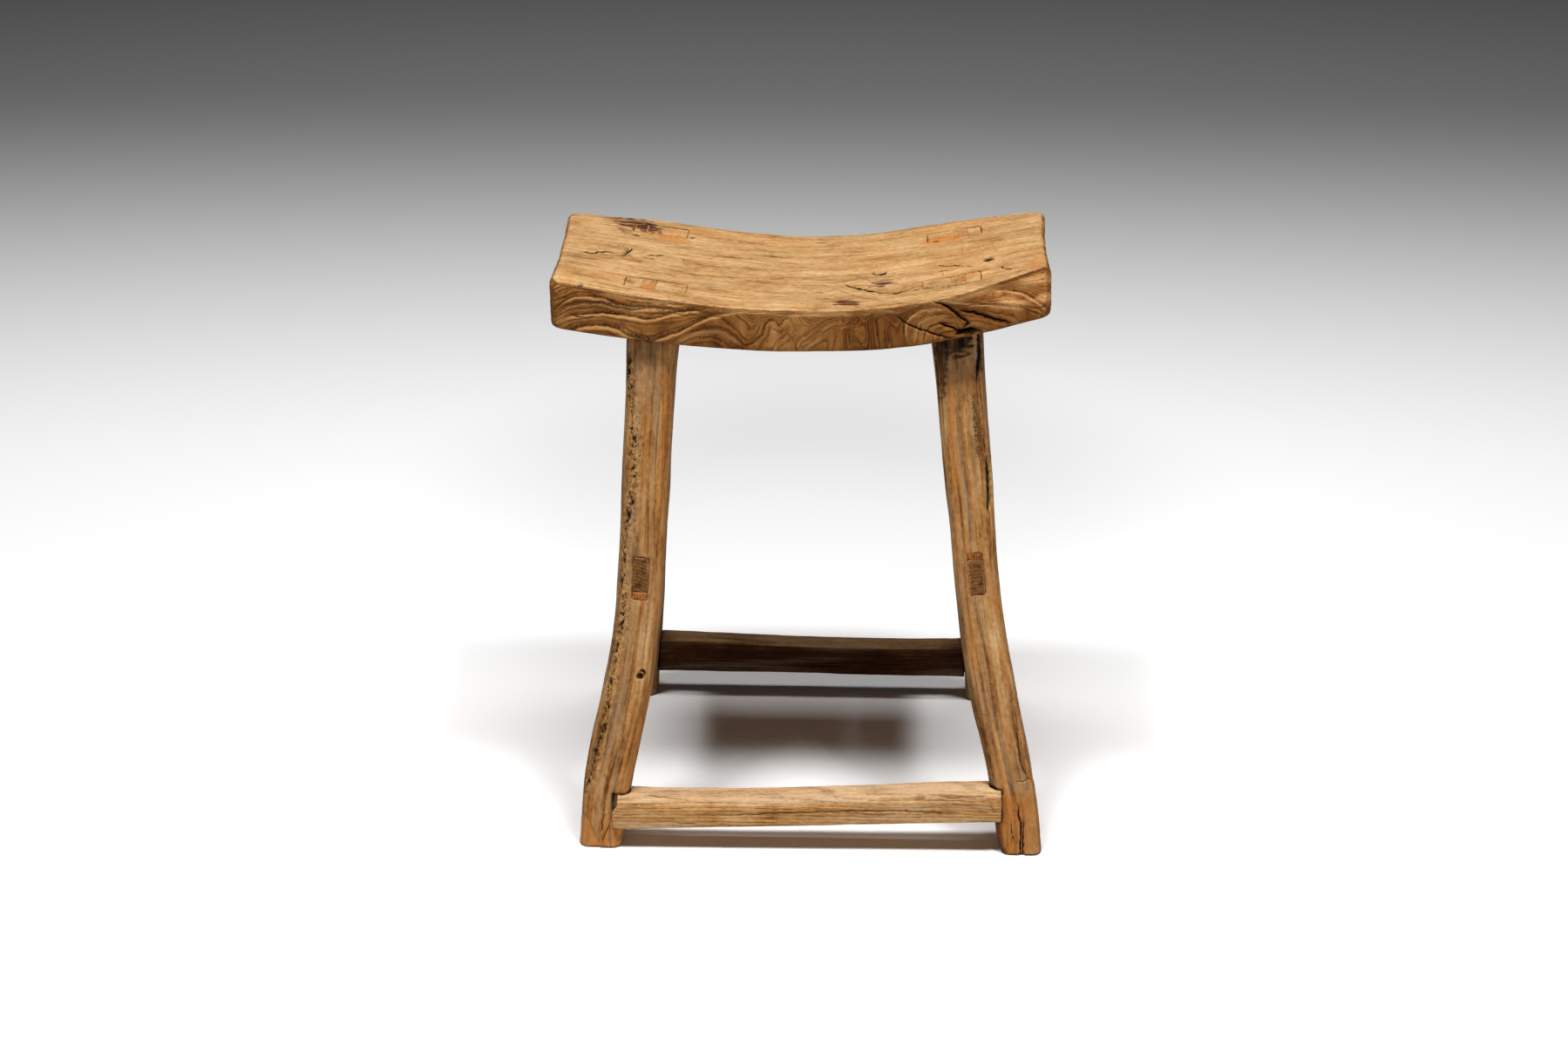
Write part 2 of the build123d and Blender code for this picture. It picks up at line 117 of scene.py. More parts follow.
def hills(places, size, seed):
    """Smooth hills and hollows from about -1 to 1, size apart: one number, or one for each direction."""
    spots = places / np.array(size)
    cell = np.floor(spots)
    within = (spots - cell).astype(np.float32)
    cell = cell.astype(np.int64).astype(np.uint32)
    ease = within ** 3 * (within * (within * 6 - 15) + 10)
    total = np.zeros(len(places), np.float32)
    for corner in np.ndindex(2, 2, 2):
        step = np.array(corner, np.uint32)
        chance = scatter(*(cell + step).T, seed)
        toward = within - np.array(corner, np.float32)
        share = np.prod(np.where(step, ease, 1 - ease), axis=1)
        for axis, bits in enumerate(SLOPE_BITS):
            slope = (chance >> np.uint32(bits) & np.uint32(SLOPE_STEPS)).astype(np.float32)
            total += share * (slope / (SLOPE_STEPS / 2) - 1) * toward[:, axis]
    return total * HILL_HEIGHT


print("eight steps over soft hills:", hills(np.arange(24.0).reshape(8, 3), 9, 1).round(2))

# %% [markdown]
# Small hills on wide ones look like worn wood. A smooth step then turns hills into patches with soft edges.

# %% Hills on hills, and a smooth step
def rough(places, size, seed, layers=3):
    """Hills with smaller hills on them."""
    total = 0
    for layer in range(layers):
        total = total + hills(places, np.array(size) / 2 ** layer, seed + 31 * layer) / 2 ** layer
    return total / 1.5


def ramp(value, low, high):
    """0 below low, 1 above high, and a smooth rise between them. It falls where high is below low."""
    share = np.clip((value - low) / (high - low), 0, 1)
    return share * share * (3 - 2 * share)


sample = rough(np.mgrid[0:40, 0:40, 0:40].reshape(3, -1).T, 9, 1)
print("rough ground runs from", round(float(sample.min()), 2), "to", round(float(sample.max()), 2))

# %% [markdown]
# ## From a clean solid to a blank of wood
# A planed board from the workshop has large flat faces that nothing can be carved into. A voxel remesh
# turns it into an even skin of small squares, about a millimetre wide. A light smoothing takes away the
# steps of the voxels and softens every edge by as much. Where a tenon comes up through the seat, the edges
# stay crisp and are lifted to the surface, or the joint would open into a groove.

# %% The corners of a solid, and the wood round the tenon ends
MM = 0.001
SEAT_BELOW = 464
TENON_LEVEL = 478
TENON_BORDER = (6, 2)


def corners(node):
    """The corner points of a solid part, in millimetres."""
    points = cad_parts[node].data.vertices
    flat = np.empty(len(points) * 3, np.float32)
    points.foreach_get("co", flat)
    return flat.reshape(-1, 3).astype(float) / MM


def near_tenons(places):
    """1 on and round the tenon ends in the seat's top, and 0 elsewhere."""
    near = np.zeros(len(places))
    high = ramp(places[:, 2], SEAT_BELOW, TENON_LEVEL)
    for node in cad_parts:
        if node.startswith("leg"):
            head = corners(node)
            head = head[head[:, 2] > TENON_LEVEL, :2]
            past = np.maximum(head.min(axis=0) - places[:, :2], places[:, :2] - head.max(axis=0))
            near = np.maximum(near, ramp(past.max(axis=1), *TENON_BORDER) * high)
    return near


for node in sorted(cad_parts):
    print(node, "is", " x ".join(str(round(side)) for side in np.ptp(corners(node), axis=0)), "mm")

# %% [markdown]
# The skin is kept as columns of numbers in millimetres: where each point is, and which way it faces.

# %% The skin of a piece
FINE_SQUARE = 0.001
RAIL_SQUARE = 0.0011
COARSE_SQUARE = 0.0013
WEDGE_SQUARE = 0.0006
SMOOTHING = 3
RIM_LIFT = 0.5
TIGHTEN = 0.06
UP = (0.0, 0.0, 1.0)
FRONTWARD = (0.0, -1.0, 0.0)
LEFTWARD = (-1.0, 0.0, 0.0)
RIGHTWARD = (1.0, 0.0, 0.0)


class Skin:
    """The even skin of a solid part, as arrays in millimetres."""

    def __init__(self, node, square):
        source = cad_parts[node]
        self.node = node
        self.piece = bpy.data.objects.new("worn_" + node, source.data.copy())
        bpy.context.scene.collection.objects.link(self.piece)
        remesh = self.piece.modifiers.new("even squares", "REMESH")
        remesh.mode = "VOXEL"
        remesh.voxel_size = square
        crisp, _ = self.skin()
        soften = self.piece.modifiers.new("soften", "SMOOTH")
        soften.iterations = SMOOTHING
        self.places, self.facing = self.skin()
        near = near_tenons(crisp)
        self.places += (crisp - self.places) * near[:, None]
        self.places[:, 2] += RIM_LIFT * near * self.faces(UP, 0.98, 0.5)
        self.places += self.facing * (TIGHTEN * near * self.faces(UP, 0.7, 0.2))[:, None]

    def skin(self):
        """The points of the piece as its modifiers leave it, and the way each one faces."""
        graph = bpy.context.evaluated_depsgraph_get()
        self.mesh = bpy.data.meshes.new_from_object(self.piece.evaluated_get(graph))
        flat = np.empty(len(self.mesh.vertices) * 3, np.float32)
        self.mesh.vertices.foreach_get("co", flat)
        places = flat.reshape(-1, 3).astype(float) / MM
        self.mesh.vertices.foreach_get("normal", flat)
        return places, flat.reshape(-1, 3).astype(float)

    def faces(self, way, low, high):
        """How much each point faces one way, as a smooth step between two cosines."""
        return ramp(self.facing @ np.array(way), low, high)


print("squares of", FINE_SQUARE / MM, "to", COARSE_SQUARE / MM, "mm, and smaller ones on wedges")

# %% [markdown]
# On top of that, a blank notes for each point where the picture shows it, how deep the wood was cut there,
# how dirty or darkened with painted shade it is, how worn or lit with a painted highlight, and how grey.
# The cuts go into the mesh only when the piece is finished.

# %% The blank, and how it is fitted on the stool
UNSPLIT = 9.0
WANDER = 5


class Blank(Skin):
    """A piece of wood in work: its skin, and what is known about each point of it."""

    def __init__(self, node, square):
        super().__init__(node, square)
        self.seen = seen(self.places * MM)
        to_camera = np.array(CAMERA_PLACE) / MM - self.places
        self.shown = np.sum(self.facing * to_camera, axis=1) > 0
        self.wander = np.column_stack([hills(self.places, WANDER, seed) for seed in (901, 902)])
        self.sunk = np.zeros(len(self.places))
        self.crack_side = np.full(len(self.places), UNSPLIT)
        self.crack_width = np.zeros(len(self.places))
        self.marks = {}

    def cut(self, depth):
        """Cut into the wood by depth millimetres, square to its skin. A negative depth raises it."""
        self.sunk = self.sunk + depth

    def mark(self, **amounts):
        """Add to the marks that the finish reads: dirty places and painted shade, worn places and painted
        highlights, or stain.
        """
        for name, amount in amounts.items():
            self.marks[name] = self.marks.get(name, 0) + amount

    def finish(self, slot, material):
        """Put the cuts into the mesh, hang the marks on its points, and fit the piece on the stool."""
        self.mark(crack_side=self.crack_side, crack_width=self.crack_width)
        worn = (self.places - self.facing * self.sunk[:, None]) * MM
        self.piece.modifiers.clear()
        self.piece.data = self.mesh
        self.mesh.vertices.foreach_set("co", worn.astype(np.float32).ravel())
        for name, amount in self.marks.items():
            kind, field = ("FLOAT_VECTOR", "vector") if np.ndim(amount) == 2 else ("FLOAT", "value")
            store = self.mesh.attributes.new(name, kind, "POINT")
            store.data.foreach_set(field, np.ascontiguousarray(amount, np.float32).ravel())
        self.mesh.materials.clear()
        self.mesh.materials.append(material)
        self.mesh.polygons.foreach_set("use_smooth", np.ones(len(self.mesh.polygons), bool))
        self.mesh.update()
        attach(self.piece, "root")
        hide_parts(self.node)
        print(self.node, "has", len(worn), "points, cut", round(self.sunk.max(), 1), "mm deep")


# %% [markdown]
# ## Lines that the years have drawn
# Cracks, the edges of growth rings, insect channels and stains are all lines or patches that a hand can
# draw. Each is written below as the few points through which the picture shows it to run. The helper tells,
# for every point of the wood, how far it is from such a line, on which side of it, and how far along.

# %% Distance from a drawn line
FAR = 999.0
LINE_REACH = 45


def follow(wood, line, unsteady=0.8, reach=LINE_REACH):
    """Distance from the line in pixels, positive on its left as it is drawn, and the share along it."""
    points = np.array(line, float)
    inside = (wood.seen > points.min(axis=0) - reach) & (wood.seen < points.max(axis=0) + reach)
    near = np.flatnonzero(inside.all(axis=1) & wood.shown)
    spots = wood.seen[near] + wood.wander[near] * unsteady
    lengths = np.hypot(*np.diff(points, axis=0).T)
    run = np.concatenate(([0], np.cumsum(lengths)))
    best = np.full(len(near), FAR)
    side = np.ones(len(near))
    share = np.zeros(len(near))
    for start, end, length, before in zip(points[:-1], points[1:], lengths, run):
        ahead = (end - start) / length
        offset = spots - start
        way = np.clip(offset @ ahead, 0, length)
        gap = offset - way[:, None] * ahead
        distance = np.hypot(gap[:, 0], gap[:, 1])
        nearer = distance < best
        best = np.where(nearer, distance, best)
        turn = ahead[0] * offset[:, 1] - ahead[1] * offset[:, 0]
        side = np.where(nearer, np.where(turn < 0, 1.0, -1.0), side)
        share = np.where(nearer, (before + way) / run[-1], share)
    distance = np.full(len(wood.seen), FAR)
    distance[near] = best * side
    along = np.zeros(len(wood.seen))
    along[near] = share
    return distance, along


print("a line reaches", LINE_REACH, "pixels past its points")

# %% [markdown]
# A line can also be a stroke that fades at its ends. A stain or a knot is an oval with a ragged border: a
# list gives its middle in the picture, half its width and height, and its tilt in degrees.

# %% Strokes and patches
OVAL_FULL = 0.6
OVAL_GONE = 1.15
RAGGED_SIZE = (6, 3, 3)


def taper(along, ends=0.15):
    """1 along a line's middle, fading to 0 at both of its ends."""
    return ramp(along, 0, ends) * ramp(1 - along, 0, ends)


def ridge(distance, width):
    """1 where a distance is 0, falling like a bell on both sides."""
    return np.exp(-(distance / width) ** 2)


def line_mark(wood, line, width, ends=0.15):
    """1 on a drawn line, fading to 0 at width pixels from it and towards its ends."""
    distance, along = follow(wood, line)
    return ridge(distance, width) * taper(along, ends)


def patch(wood, middle, across, down, tilt=0.0, ragged=0.35):
    """1 inside a given oval of the picture, falling to 0 over its ragged border."""
    offset = wood.seen - np.array(middle)
    turn = math.radians(tilt)
    x = offset[:, 0] * math.cos(turn) + offset[:, 1] * math.sin(turn)
    y = offset[:, 1] * math.cos(turn) - offset[:, 0] * math.sin(turn)
    reach = np.hypot(x / across, y / down) + ragged * hills(wood.places, RAGGED_SIZE, 77)
    return (1 - ramp(reach, OVAL_FULL, OVAL_GONE)) * wood.shown


print("a stroke from end to end:", taper(np.linspace(0, 1, 11)).round(2))

# %% [markdown]
# Dust gathers where two pieces meet, since no cloth gets at it there, and the joint lies in shade; both are
# painted there as one darkening. So each point near a joint is asked how far it is from the solid of the
# other piece.

# %% Dirt and painted shade where two pieces meet
JOINT_REACH = 6.0
SEAM = (1.5, 0.4)


def joint_shade_and_dirt(wood, *nodes):
    """Dirt and painted shade where other pieces of the stool meet this one."""
    for node in nodes:
        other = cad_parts[node].data
        sides = [face.vertices for face in other.polygons]
        tree = BVHTree.FromPolygons([point.co for point in other.vertices], sides)
        low = corners(node).min(axis=0) - JOINT_REACH
        high = corners(node).max(axis=0) + JOINT_REACH
        inside = (wood.places > low) & (wood.places < high)
        gap = np.full(len(wood.places), FAR)
        for point in np.flatnonzero(inside.all(axis=1) & (wood.places[:, 2] < SEAT_BELOW)):
            gap[point] = tree.find_nearest(Vector(wood.places[point] * MM))[3] / MM
        # Painted shade with some dirt: darkest at the seam and fading over the reach.
        seam_shade_and_dirt = 0.45 * ramp(gap, *SEAM) + 0.35 * ramp(gap, JOINT_REACH, 0)
        wood.mark(dirt_and_shade=seam_shade_and_dirt * (0.8 + 0.4 * hills(wood.places, (6, 6, 6), 79)))


print("dirt reaches", JOINT_REACH, "mm from a joint")

# %% [markdown]
# A crack is finer than the squares of the mesh. So the mesh does not carry the crack itself but the
# distance from it, which changes evenly from point to point, and the finish draws the dark line where it is
# least. Only what is deeper than half a millimetre is cut as well.

# %% Cracks
HALF_WIDTH = 0.36
DRAWN_DEPTH = 0.5
CRACK_REACH = 12


def cut_cracks(wood, cracks):
    """Dry cracks, each a line with its width in pixels and its depth in millimetres."""
    for line, width, depth in cracks:
        distance, along = follow(wood, line, 1.1, CRACK_REACH)
        away = np.abs(distance)
        wide = HALF_WIDTH * width * taper(along, 0.25)
        wood.cut(max(0, depth - DRAWN_DEPTH) * ramp(away, 0.8 + 0.6 * width, 0.2) * taper(along, 0.2))
        nearer = (away < np.abs(wood.crack_side)) & (wide > 0)
        wood.crack_side = np.where(nearer, distance, wood.crack_side)
        wood.crack_width = np.where(nearer, wide * ramp(away, 5, 3), wood.crack_width)


print("a crack is cut where it is deeper than", DRAWN_DEPTH, "mm")

# %% [markdown]
# ## The seat's growth layers
# The seat is one thick plank of elm. Along its front edge the saw cut through the growth rings at a low
# angle, and weather has eaten the soft early wood of each ring and left the hard late wood standing, so the
# left half is a small landscape of shelves. In the middle the layers turn into loops, and on the right they
# bend round the root of a branch. The lines of the shelves are drawn from left to right.

# %% Lines of the seat's front edge, as points in the picture
ARRIS = ((630, 348), (661, 338), (689, 338), (729, 350), (785, 355), (851, 357), (897, 357), (985, 356),
         (1040, 352), (1075, 343), (1105, 336), (1135, 330), (1170, 322), (1205, 318))
SHELF_UPPER = ((640, 352), (650, 344), (661, 340), (675, 341), (692, 344), (705, 350), (722, 353),
               (740, 352), (760, 355))
SHELF_NEXT = ((638, 361), (652, 352), (668, 349), (690, 349), (704, 354), (722, 357), (750, 355),
              (785, 357))
SHELF_LONG = ((640, 368), (655, 363), (672, 361), (692, 360), (706, 362), (722, 364), (738, 367),
              (752, 366), (768, 361), (786, 358), (812, 356))
SHELF_LOW = ((648, 383), (656, 379), (668, 376), (683, 374), (695, 375), (709, 379), (719, 385), (731, 389),
             (745, 392))
SHELF_RISING = ((741, 394), (751, 391), (763, 387), (776, 383), (788, 377), (801, 370), (815, 364),
                (833, 360), (850, 358))
LOOP = ((768, 396), (778, 390), (791, 384), (807, 380), (821, 379), (832, 382), (843, 389), (852, 397))
LOOP_HEART = ((780, 396), (788, 391), (799, 388), (815, 387), (826, 390), (832, 395))
ZIGZAG = ((855, 396), (865, 393), (874, 384), (878, 373), (884, 366), (889, 369), (894, 374), (901, 366),
          (908, 361), (913, 361))
DIP = ((921, 396), (932, 389), (942, 379), (952, 371), (966, 367), (976, 373), (982, 384))
UPRIGHT_ONE = ((976, 400), (974, 387), (977, 374), (982, 362))
UPRIGHT_TWO = ((1010, 399), (1008, 386), (1006, 373), (1004, 361))
UPRIGHT_THREE = ((1022, 398), (1019, 385), (1017, 372), (1013, 360))
ARC_OUTER = ((1040, 391), (1037, 380), (1039, 369), (1046, 361), (1058, 355), (1073, 353), (1086, 354))
ARC_MIDDLE = ((1050, 391), (1049, 381), (1053, 371), (1062, 365), (1075, 362), (1089, 363))
ARC_INNER = ((1060, 390), (1061, 382), (1067, 375), (1078, 371), (1092, 372))
ARC_HEART = ((1073, 388), (1077, 381), (1086, 378), (1097, 377))
TONGUE_TOP = ((1102, 358), (1114, 359), (1126, 361), (1140, 366), (1154, 369), (1163, 374))
TONGUE_HEART = ((1108, 367), (1124, 369), (1142, 373), (1158, 376))
SLOPE_RING = ((1110, 353), (1130, 349), (1155, 349), (1176, 351), (1192, 356), (1204, 360))
SLOPE_FAN = ((1140, 333), (1160, 333), (1178, 338), (1192, 347), (1204, 358))
print("the seat's upper edge is drawn through", len(ARRIS), "points")

# %% [markdown]
# Each line has a number: how many layers it lies under the edge of the seat. Everything between two lines
# takes its place in the layers from how near it is to each. So the finer grain, which the finish draws
# later, flows round the knots as the real grain does.

# %% How deep in the layers a point lies
PIXEL = 0.76
SEAT_LAYER = 3.2
LINE_PULL = 3.0
LAYER_REACH = 80
FRONT_LAYERS = ((0, ARRIS), (1, SHELF_UPPER), (3, SHELF_NEXT), (5, SHELF_LONG), (9, SHELF_LOW),
                (9, SHELF_RISING), (11, LOOP), (13, LOOP_HEART), (10, ZIGZAG), (12, DIP), (15, UPRIGHT_ONE),
                (18, UPRIGHT_TWO), (20, UPRIGHT_THREE), (22, ARC_OUTER), (24, ARC_MIDDLE), (26, ARC_INNER),
                (28, ARC_HEART), (21, TONGUE_TOP), (23, TONGUE_HEART), (17, SLOPE_RING), (14, SLOPE_FAN))


def layers_down(wood):
    """How many growth layers deep each point lies, from the drawn lines nearest to it."""
    total = 0
    weights = 0
    for number, line in FRONT_LAYERS:
        distance, _ = follow(wood, line, 0.6, LAYER_REACH)
        weight = (distance ** 2 + LINE_PULL ** 2) ** -1.5
        total = total + weight * (number - distance * PIXEL / SEAT_LAYER)
        weights = weights + weight
    return total / weights


print(len(FRONT_LAYERS), "lines, layers of", SEAT_LAYER, "mm")

# %% [markdown]
# ## The seat's blank and its worn edges
# A seat's edges are rounded by legs and clothes, and this one most towards its ends, where the wood stands
# highest. Even slices of the plank tell where its front edge runs, and it is rounded there with a radius
# that grows from 3 mm in the middle to 16 mm at the left end.

# %% The blank of the seat, with its front edge rounded
ARRIS_RADIUS = ((-213, -150, -110, -60, 60, 150, 213), (16, 14, 9, 4, 3, 6, 10))
SLICES = 60
SLICE_HALF = 5
EDGE_DEPTH = 30


def edge_line(wood):
    """The height of the seat's top and the place of its front along its length, from even slices of it."""
    x, y, z = wood.places.T
    slices = np.linspace(x.min() + 2, x.max() - 2, SLICES)
    heights = []
    fronts = []
    for middle in slices:
        near = np.abs(x - middle) < SLICE_HALF
        heights.append(z[near].max())
        fronts.append(y[near & (z > z[near].max() - EDGE_DEPTH)].min())
    return np.interp(x, slices, heights), np.interp(x, slices, fronts)


def round_over(below, behind, radius):
    """How deep to cut near an edge, where below and behind tell how far a point is from its two faces."""
    corner = np.hypot(np.maximum(0, radius - below), np.maximum(0, radius - behind))
    return np.maximum(0, corner - radius)


seat = Blank("seat", FINE_SQUARE)
x, y, z = seat.places.T
height, front_place = edge_line(seat)
seat.cut(round_over(height - z, y - front_place, np.interp(x, *ARRIS_RADIUS)))
top = seat.faces(UP, 0.55, 0.85)
front = seat.faces(FRONTWARD, 0.45, 0.75)
ends = ramp(np.abs(seat.facing[:, 0]), 0.5, 0.8)
print("the front edge is cut", round(seat.sunk.max(), 1), "mm deep at most")

# %% [markdown]
# The grain runs along the plank. On the top it swirls once, round a branch that was cut off, and on the
# front it follows the drawn layers.

# %% The run of the grain
RINGS_SHOWN = 0.76
SWIRL = ((1000, 332), 50, 16, -4, 0)
SWIRL_PUSH = 8
SWIRL_MIDDLE = 66
SWIRL_LENGTH = 14

level = layers_down(seat) * front + (height - z) / SEAT_LAYER * (1 - front)
swirl = patch(seat, *SWIRL) * top
across = y + SWIRL_PUSH * swirl * np.sin((x - SWIRL_MIDDLE) / SWIRL_LENGTH)
across = across + 2.5 * hills(seat.places, (70, 30, 60), 5)
through = level * SEAT_LAYER * (1 - 0.5 * front) + 1.2 * hills(seat.places, (50, 40, 12), 6)
grain = np.column_stack((x, across, through))
rings = RINGS_SHOWN * level + 0.35 * top * across + 0.3 * hills(seat.places, (60, 30, 30), 7)
seat.mark(grain=grain, rings=rings)
print("the front shows", round(level[front > 0.5].max()), "layers")

# %% [markdown]
# ## Shelves, cracks and holes in the seat
# Cutting is done in the order in which it happened. Use and weather first wore the plank into soft lumps,
# most of all near the burst place on the right. Then the early wood went between the layers of the front.

# %% Soft lumps, raised grain and eaten layers
BURST = ((1085, 325), 60, 24, -14, 0.2)
LUMPS = 0.8
BURST_LUMPS = 1.5
RAISED_ON_TOP = 0.13
RAISED_AT_ENDS = 0.25

seat.cut(LUMPS * rough(seat.places, (70, 40, 25), 11) - 0.2)
seat.cut(BURST_LUMPS * patch(seat, *BURST) * top * rough(seat.places, (26, 11, 14), 17))
ridges = hills(grain, (50, 2.6, 1.9), 13)
seat.cut(RAISED_ON_TOP * ridges * top + RAISED_AT_ENDS * ridges * ends)
left = ramp(seat.seen[:, 0], 880, 760)
upper = ramp(seat.seen[:, 1], 372, 360) * left
eaten = ramp(level - np.floor(level), 0.45, 0.85) * front * ramp(hills(grain, (45, 30, 9), 18), -0.35, 0.25)
seat.cut(eaten * (0.12 + 0.15 * left + 0.55 * upper))
hollows_and_shade = 0.4 * eaten * (0.3 + 0.2 * left + 0.5 * upper)
print("lumps and layers:", round(seat.sunk.min(), 1), "to", round(seat.sunk.max(), 1), "mm")

# %% [markdown]
# The boldest layers stand out as shelves. The wood is cut deepest right above the line of a shelf and less
# and less further up, and the hollow there is darkened with painted shade, while the shelf's lip below the
# line gets a painted highlight, bright as if light caught it. Other layers show only as a dark band. Both
# are left granular, as rotten early wood is.

# %% Shelves with their depth in millimetres and reach in pixels, and dark bands with their width in pixels
SHELVES = ((SHELF_UPPER, 1.2, 4), (SHELF_NEXT, 1.6, 5), (SHELF_LONG, 3.2, 7), (SHELF_LOW, 2.6, 7),
           (SHELF_RISING, 2.0, 8), (LOOP, 0.9, 6), (ARC_OUTER, 0.6, 5), (ARC_MIDDLE, 0.6, 4),
           (SLOPE_FAN, 0.5, 4))
DARK_BANDS = ((LOOP_HEART, 2.2), (ZIGZAG, 2.6), (DIP, 2.0), (UPRIGHT_ONE, 2.4), (UPRIGHT_TWO, 2.4),
              (UPRIGHT_THREE, 2.0), (ARC_OUTER, 1.4), (ARC_MIDDLE, 1.4), (ARC_INNER, 1.3), (ARC_HEART, 1.2),
              (SLOPE_RING, 1.2), (SLOPE_FAN, 1.2), (TONGUE_HEART, 1.0))
LIP = 1.5
PIT = 0.45

uneven = 0.65 + 0.5 * hills(seat.places, (18, 10, 8), 19)
for line, step, reach in SHELVES:
    distance, along = follow(seat, line)
    shown = taper(along, 0.12) * front
    over = np.where(distance > 0, np.exp(-distance / reach), ridge(distance, 0.9))
    seat.cut(step * over * uneven * shown)
    # A painted highlight on the lip below each shelf's line, and painted shade in the hollow above it.
    seat.mark(wear_and_highlight=0.55 * ridge(distance + LIP, LIP) * shown)
    shade = ridge(distance - 2.2, 0.4 * reach) * uneven * shown
    hollows_and_shade = np.maximum(hollows_and_shade, np.minimum(1, 0.6 * step) * shade)
for line, width in DARK_BANDS:
    band = line_mark(seat, line, width) * front
    seat.cut(0.3 * band)
    hollows_and_shade = np.maximum(hollows_and_shade, 0.58 * band)
seat.cut(PIT * hollows_and_shade * hills(seat.places, (3.0, 2.6, 2.4), 43))
# The hollows carry dark rotten wood and the painted shade above the shelves.
seat.mark(rot_and_shade=hollows_and_shade, dirt_and_shade=0.36 * hollows_and_shade)
print(len(SHELVES), "shelves and", len(DARK_BANDS), "dark bands")

# %% [markdown]
# Drying split the plank. The widest cracks run round the burst place over the right leg, where the wood
# round an old branch fell out. They were found one by one in the picture.

# %% Cracks in the seat: points, width in pixels and depth in millimetres
SEAT_CRACKS = (
    (((1064, 343), (1078, 347), (1090, 354), (1100, 363), (1111, 370), (1108, 375), (1100, 377)), 3.8, 3.5),
    (((1024, 359), (1040, 371), (1056, 378), (1072, 383), (1088, 388), (1100, 387)), 2.4, 2.0),
    (((1076, 371), (1094, 376), (1104, 382)), 3.2, 3.0),
    (((1098, 356), (1112, 358), (1126, 361), (1140, 366), (1154, 369), (1166, 373)), 3.4, 4.0),
    (((1151, 356), (1146, 360), (1138, 359)), 0.8, 0.8),
    (((648, 359), (660, 363), (672, 365), (688, 363)), 1.0, 1.0),
    (((742, 385), (745, 390), (741, 392)), 1.6, 2.0),
    (((641, 355), (650, 356), (662, 354), (676, 355)), 0.7, 0.8),
    (((662, 288), (680, 290), (694, 288), (706, 290), (713, 292)), 1.6, 1.2),
    (((713, 293), (720, 288), (726, 283)), 4.2, 5.0),
    (((704, 284), (710, 282), (718, 283)), 0.7, 0.6),
    (((716, 293), (728, 294)), 0.9, 0.8),
    (((728, 291), (737, 290), (742, 287)), 0.6, 0.5),
    (((739, 292), (750, 292.5), (764, 293)), 1.7, 1.4),
    (((734, 296), (746, 297), (754, 297)), 1.0, 0.8),
    (((781, 296), (785, 299), (786, 302)), 0.8, 0.6),
    (((836, 294), (843, 296), (850, 300)), 0.5, 0.4),
    (((856, 293), (866, 297), (873, 298)), 0.4, 0.3),
    (((904, 325), (920, 331), (945, 337), (975, 345)), 0.5, 0.4),
    (((915, 312), (935, 318), (960, 322)), 0.5, 0.4),
    (((925, 322), (950, 329), (985, 341), (1005, 348)), 0.5, 0.4),
    (((967, 325), (990, 331), (1006, 334), (1016, 338)), 3.2, 2.4),
    (((978, 315), (992, 320), (1004, 325)), 0.7, 0.6),
    (((999, 312), (1004, 315), (1016, 314), (1017, 310)), 2.3, 1.2),
    (((1016, 314), (1024, 314), (1030, 314)), 0.7, 0.6),
    (((1068, 303), (1084, 305), (1100, 304), (1122, 306)), 1.4, 1.2),
    (((1146, 305), (1154, 308), (1163, 308)), 1.5, 1.0),
    (((1080, 311), (1082, 315), (1084, 319)), 0.7, 0.6),
    (((1017, 338), (1040, 335), (1064, 331)), 1.3, 0.9),
    (((1144, 298), (1156, 292), (1170, 287), (1180, 283)), 0.5, 0.4),
    (((1104, 279), (1104, 288), (1105, 297)), 0.4, 0.3),
    (((1136, 277), (1141, 284), (1143, 292)), 0.4, 0.3),
    (((1052, 288), (1055, 299)), 0.4, 0.3),
    (((1005, 300), (1006, 310)), 0.4, 0.3),
)
HOLES = (((1134, 297), 6.5, 2.4, -12, 3.0), ((1111, 381), 15, 4.2, -6, 7.0))
NOTCH = ((1167, 377), 10, 4.5)
NOTCH_DEPTH = 4.0

cut_cracks(seat, SEAT_CRACKS)
for *oval, depth in HOLES:
    hole = patch(seat, *oval, 0.2)
    seat.cut(depth * hole)
    seat.mark(dirt_and_shade=1.2 * hole)
seat.cut(NOTCH_DEPTH * patch(seat, *NOTCH))
print(len(SEAT_CRACKS), "cracks and", len(HOLES), "holes, down to", round(seat.sunk.max(), 1), "mm")

# %% [markdown]
# ## What was spilled and rubbed on the seat
# Spills left purple stains on the top, dirt sits in small spots, and bare wood shines orange through the
# polish. The tenon ends and wedges come up through the seat, so they get the same stains as the plank.

# %% Stains of the top: the middle, half the width and height, the tilt and the strength
PURPLE_STAINS = (((727, 256), 27, 6.5, 12, 1.5), ((744, 262), 14, 5.0, 10, 1.3),
                 ((718, 265), 13, 3.4, 22, 0.9), ((974, 348), 16, 4.5, 3, 1.3),
                 ((1013, 325), 15, 4.5, -8, 1.1))
BROWN_SPOTS = (((814, 328), 12, 4.0, 3, 0.5), ((665, 326), 4, 2.2, 0, 1.0),
               ((668, 293), 20, 6.0, 0, 0.35), ((1092, 324), 34, 4.0, -14, 0.30),
               ((1074, 277), 4, 1.4, -5, 1.2), ((723, 323), 9, 3.0, 12, 0.7),
               ((730, 270), 4, 1.3, 8, 1.3), ((794, 273), 4, 1.0, 4, 1.2), ((942, 279), 6, 1.2, 0, 0.6),
               ((1067, 331), 6, 2.0, -8, 0.8), ((748, 267), 4, 2.0, 10, 0.6))
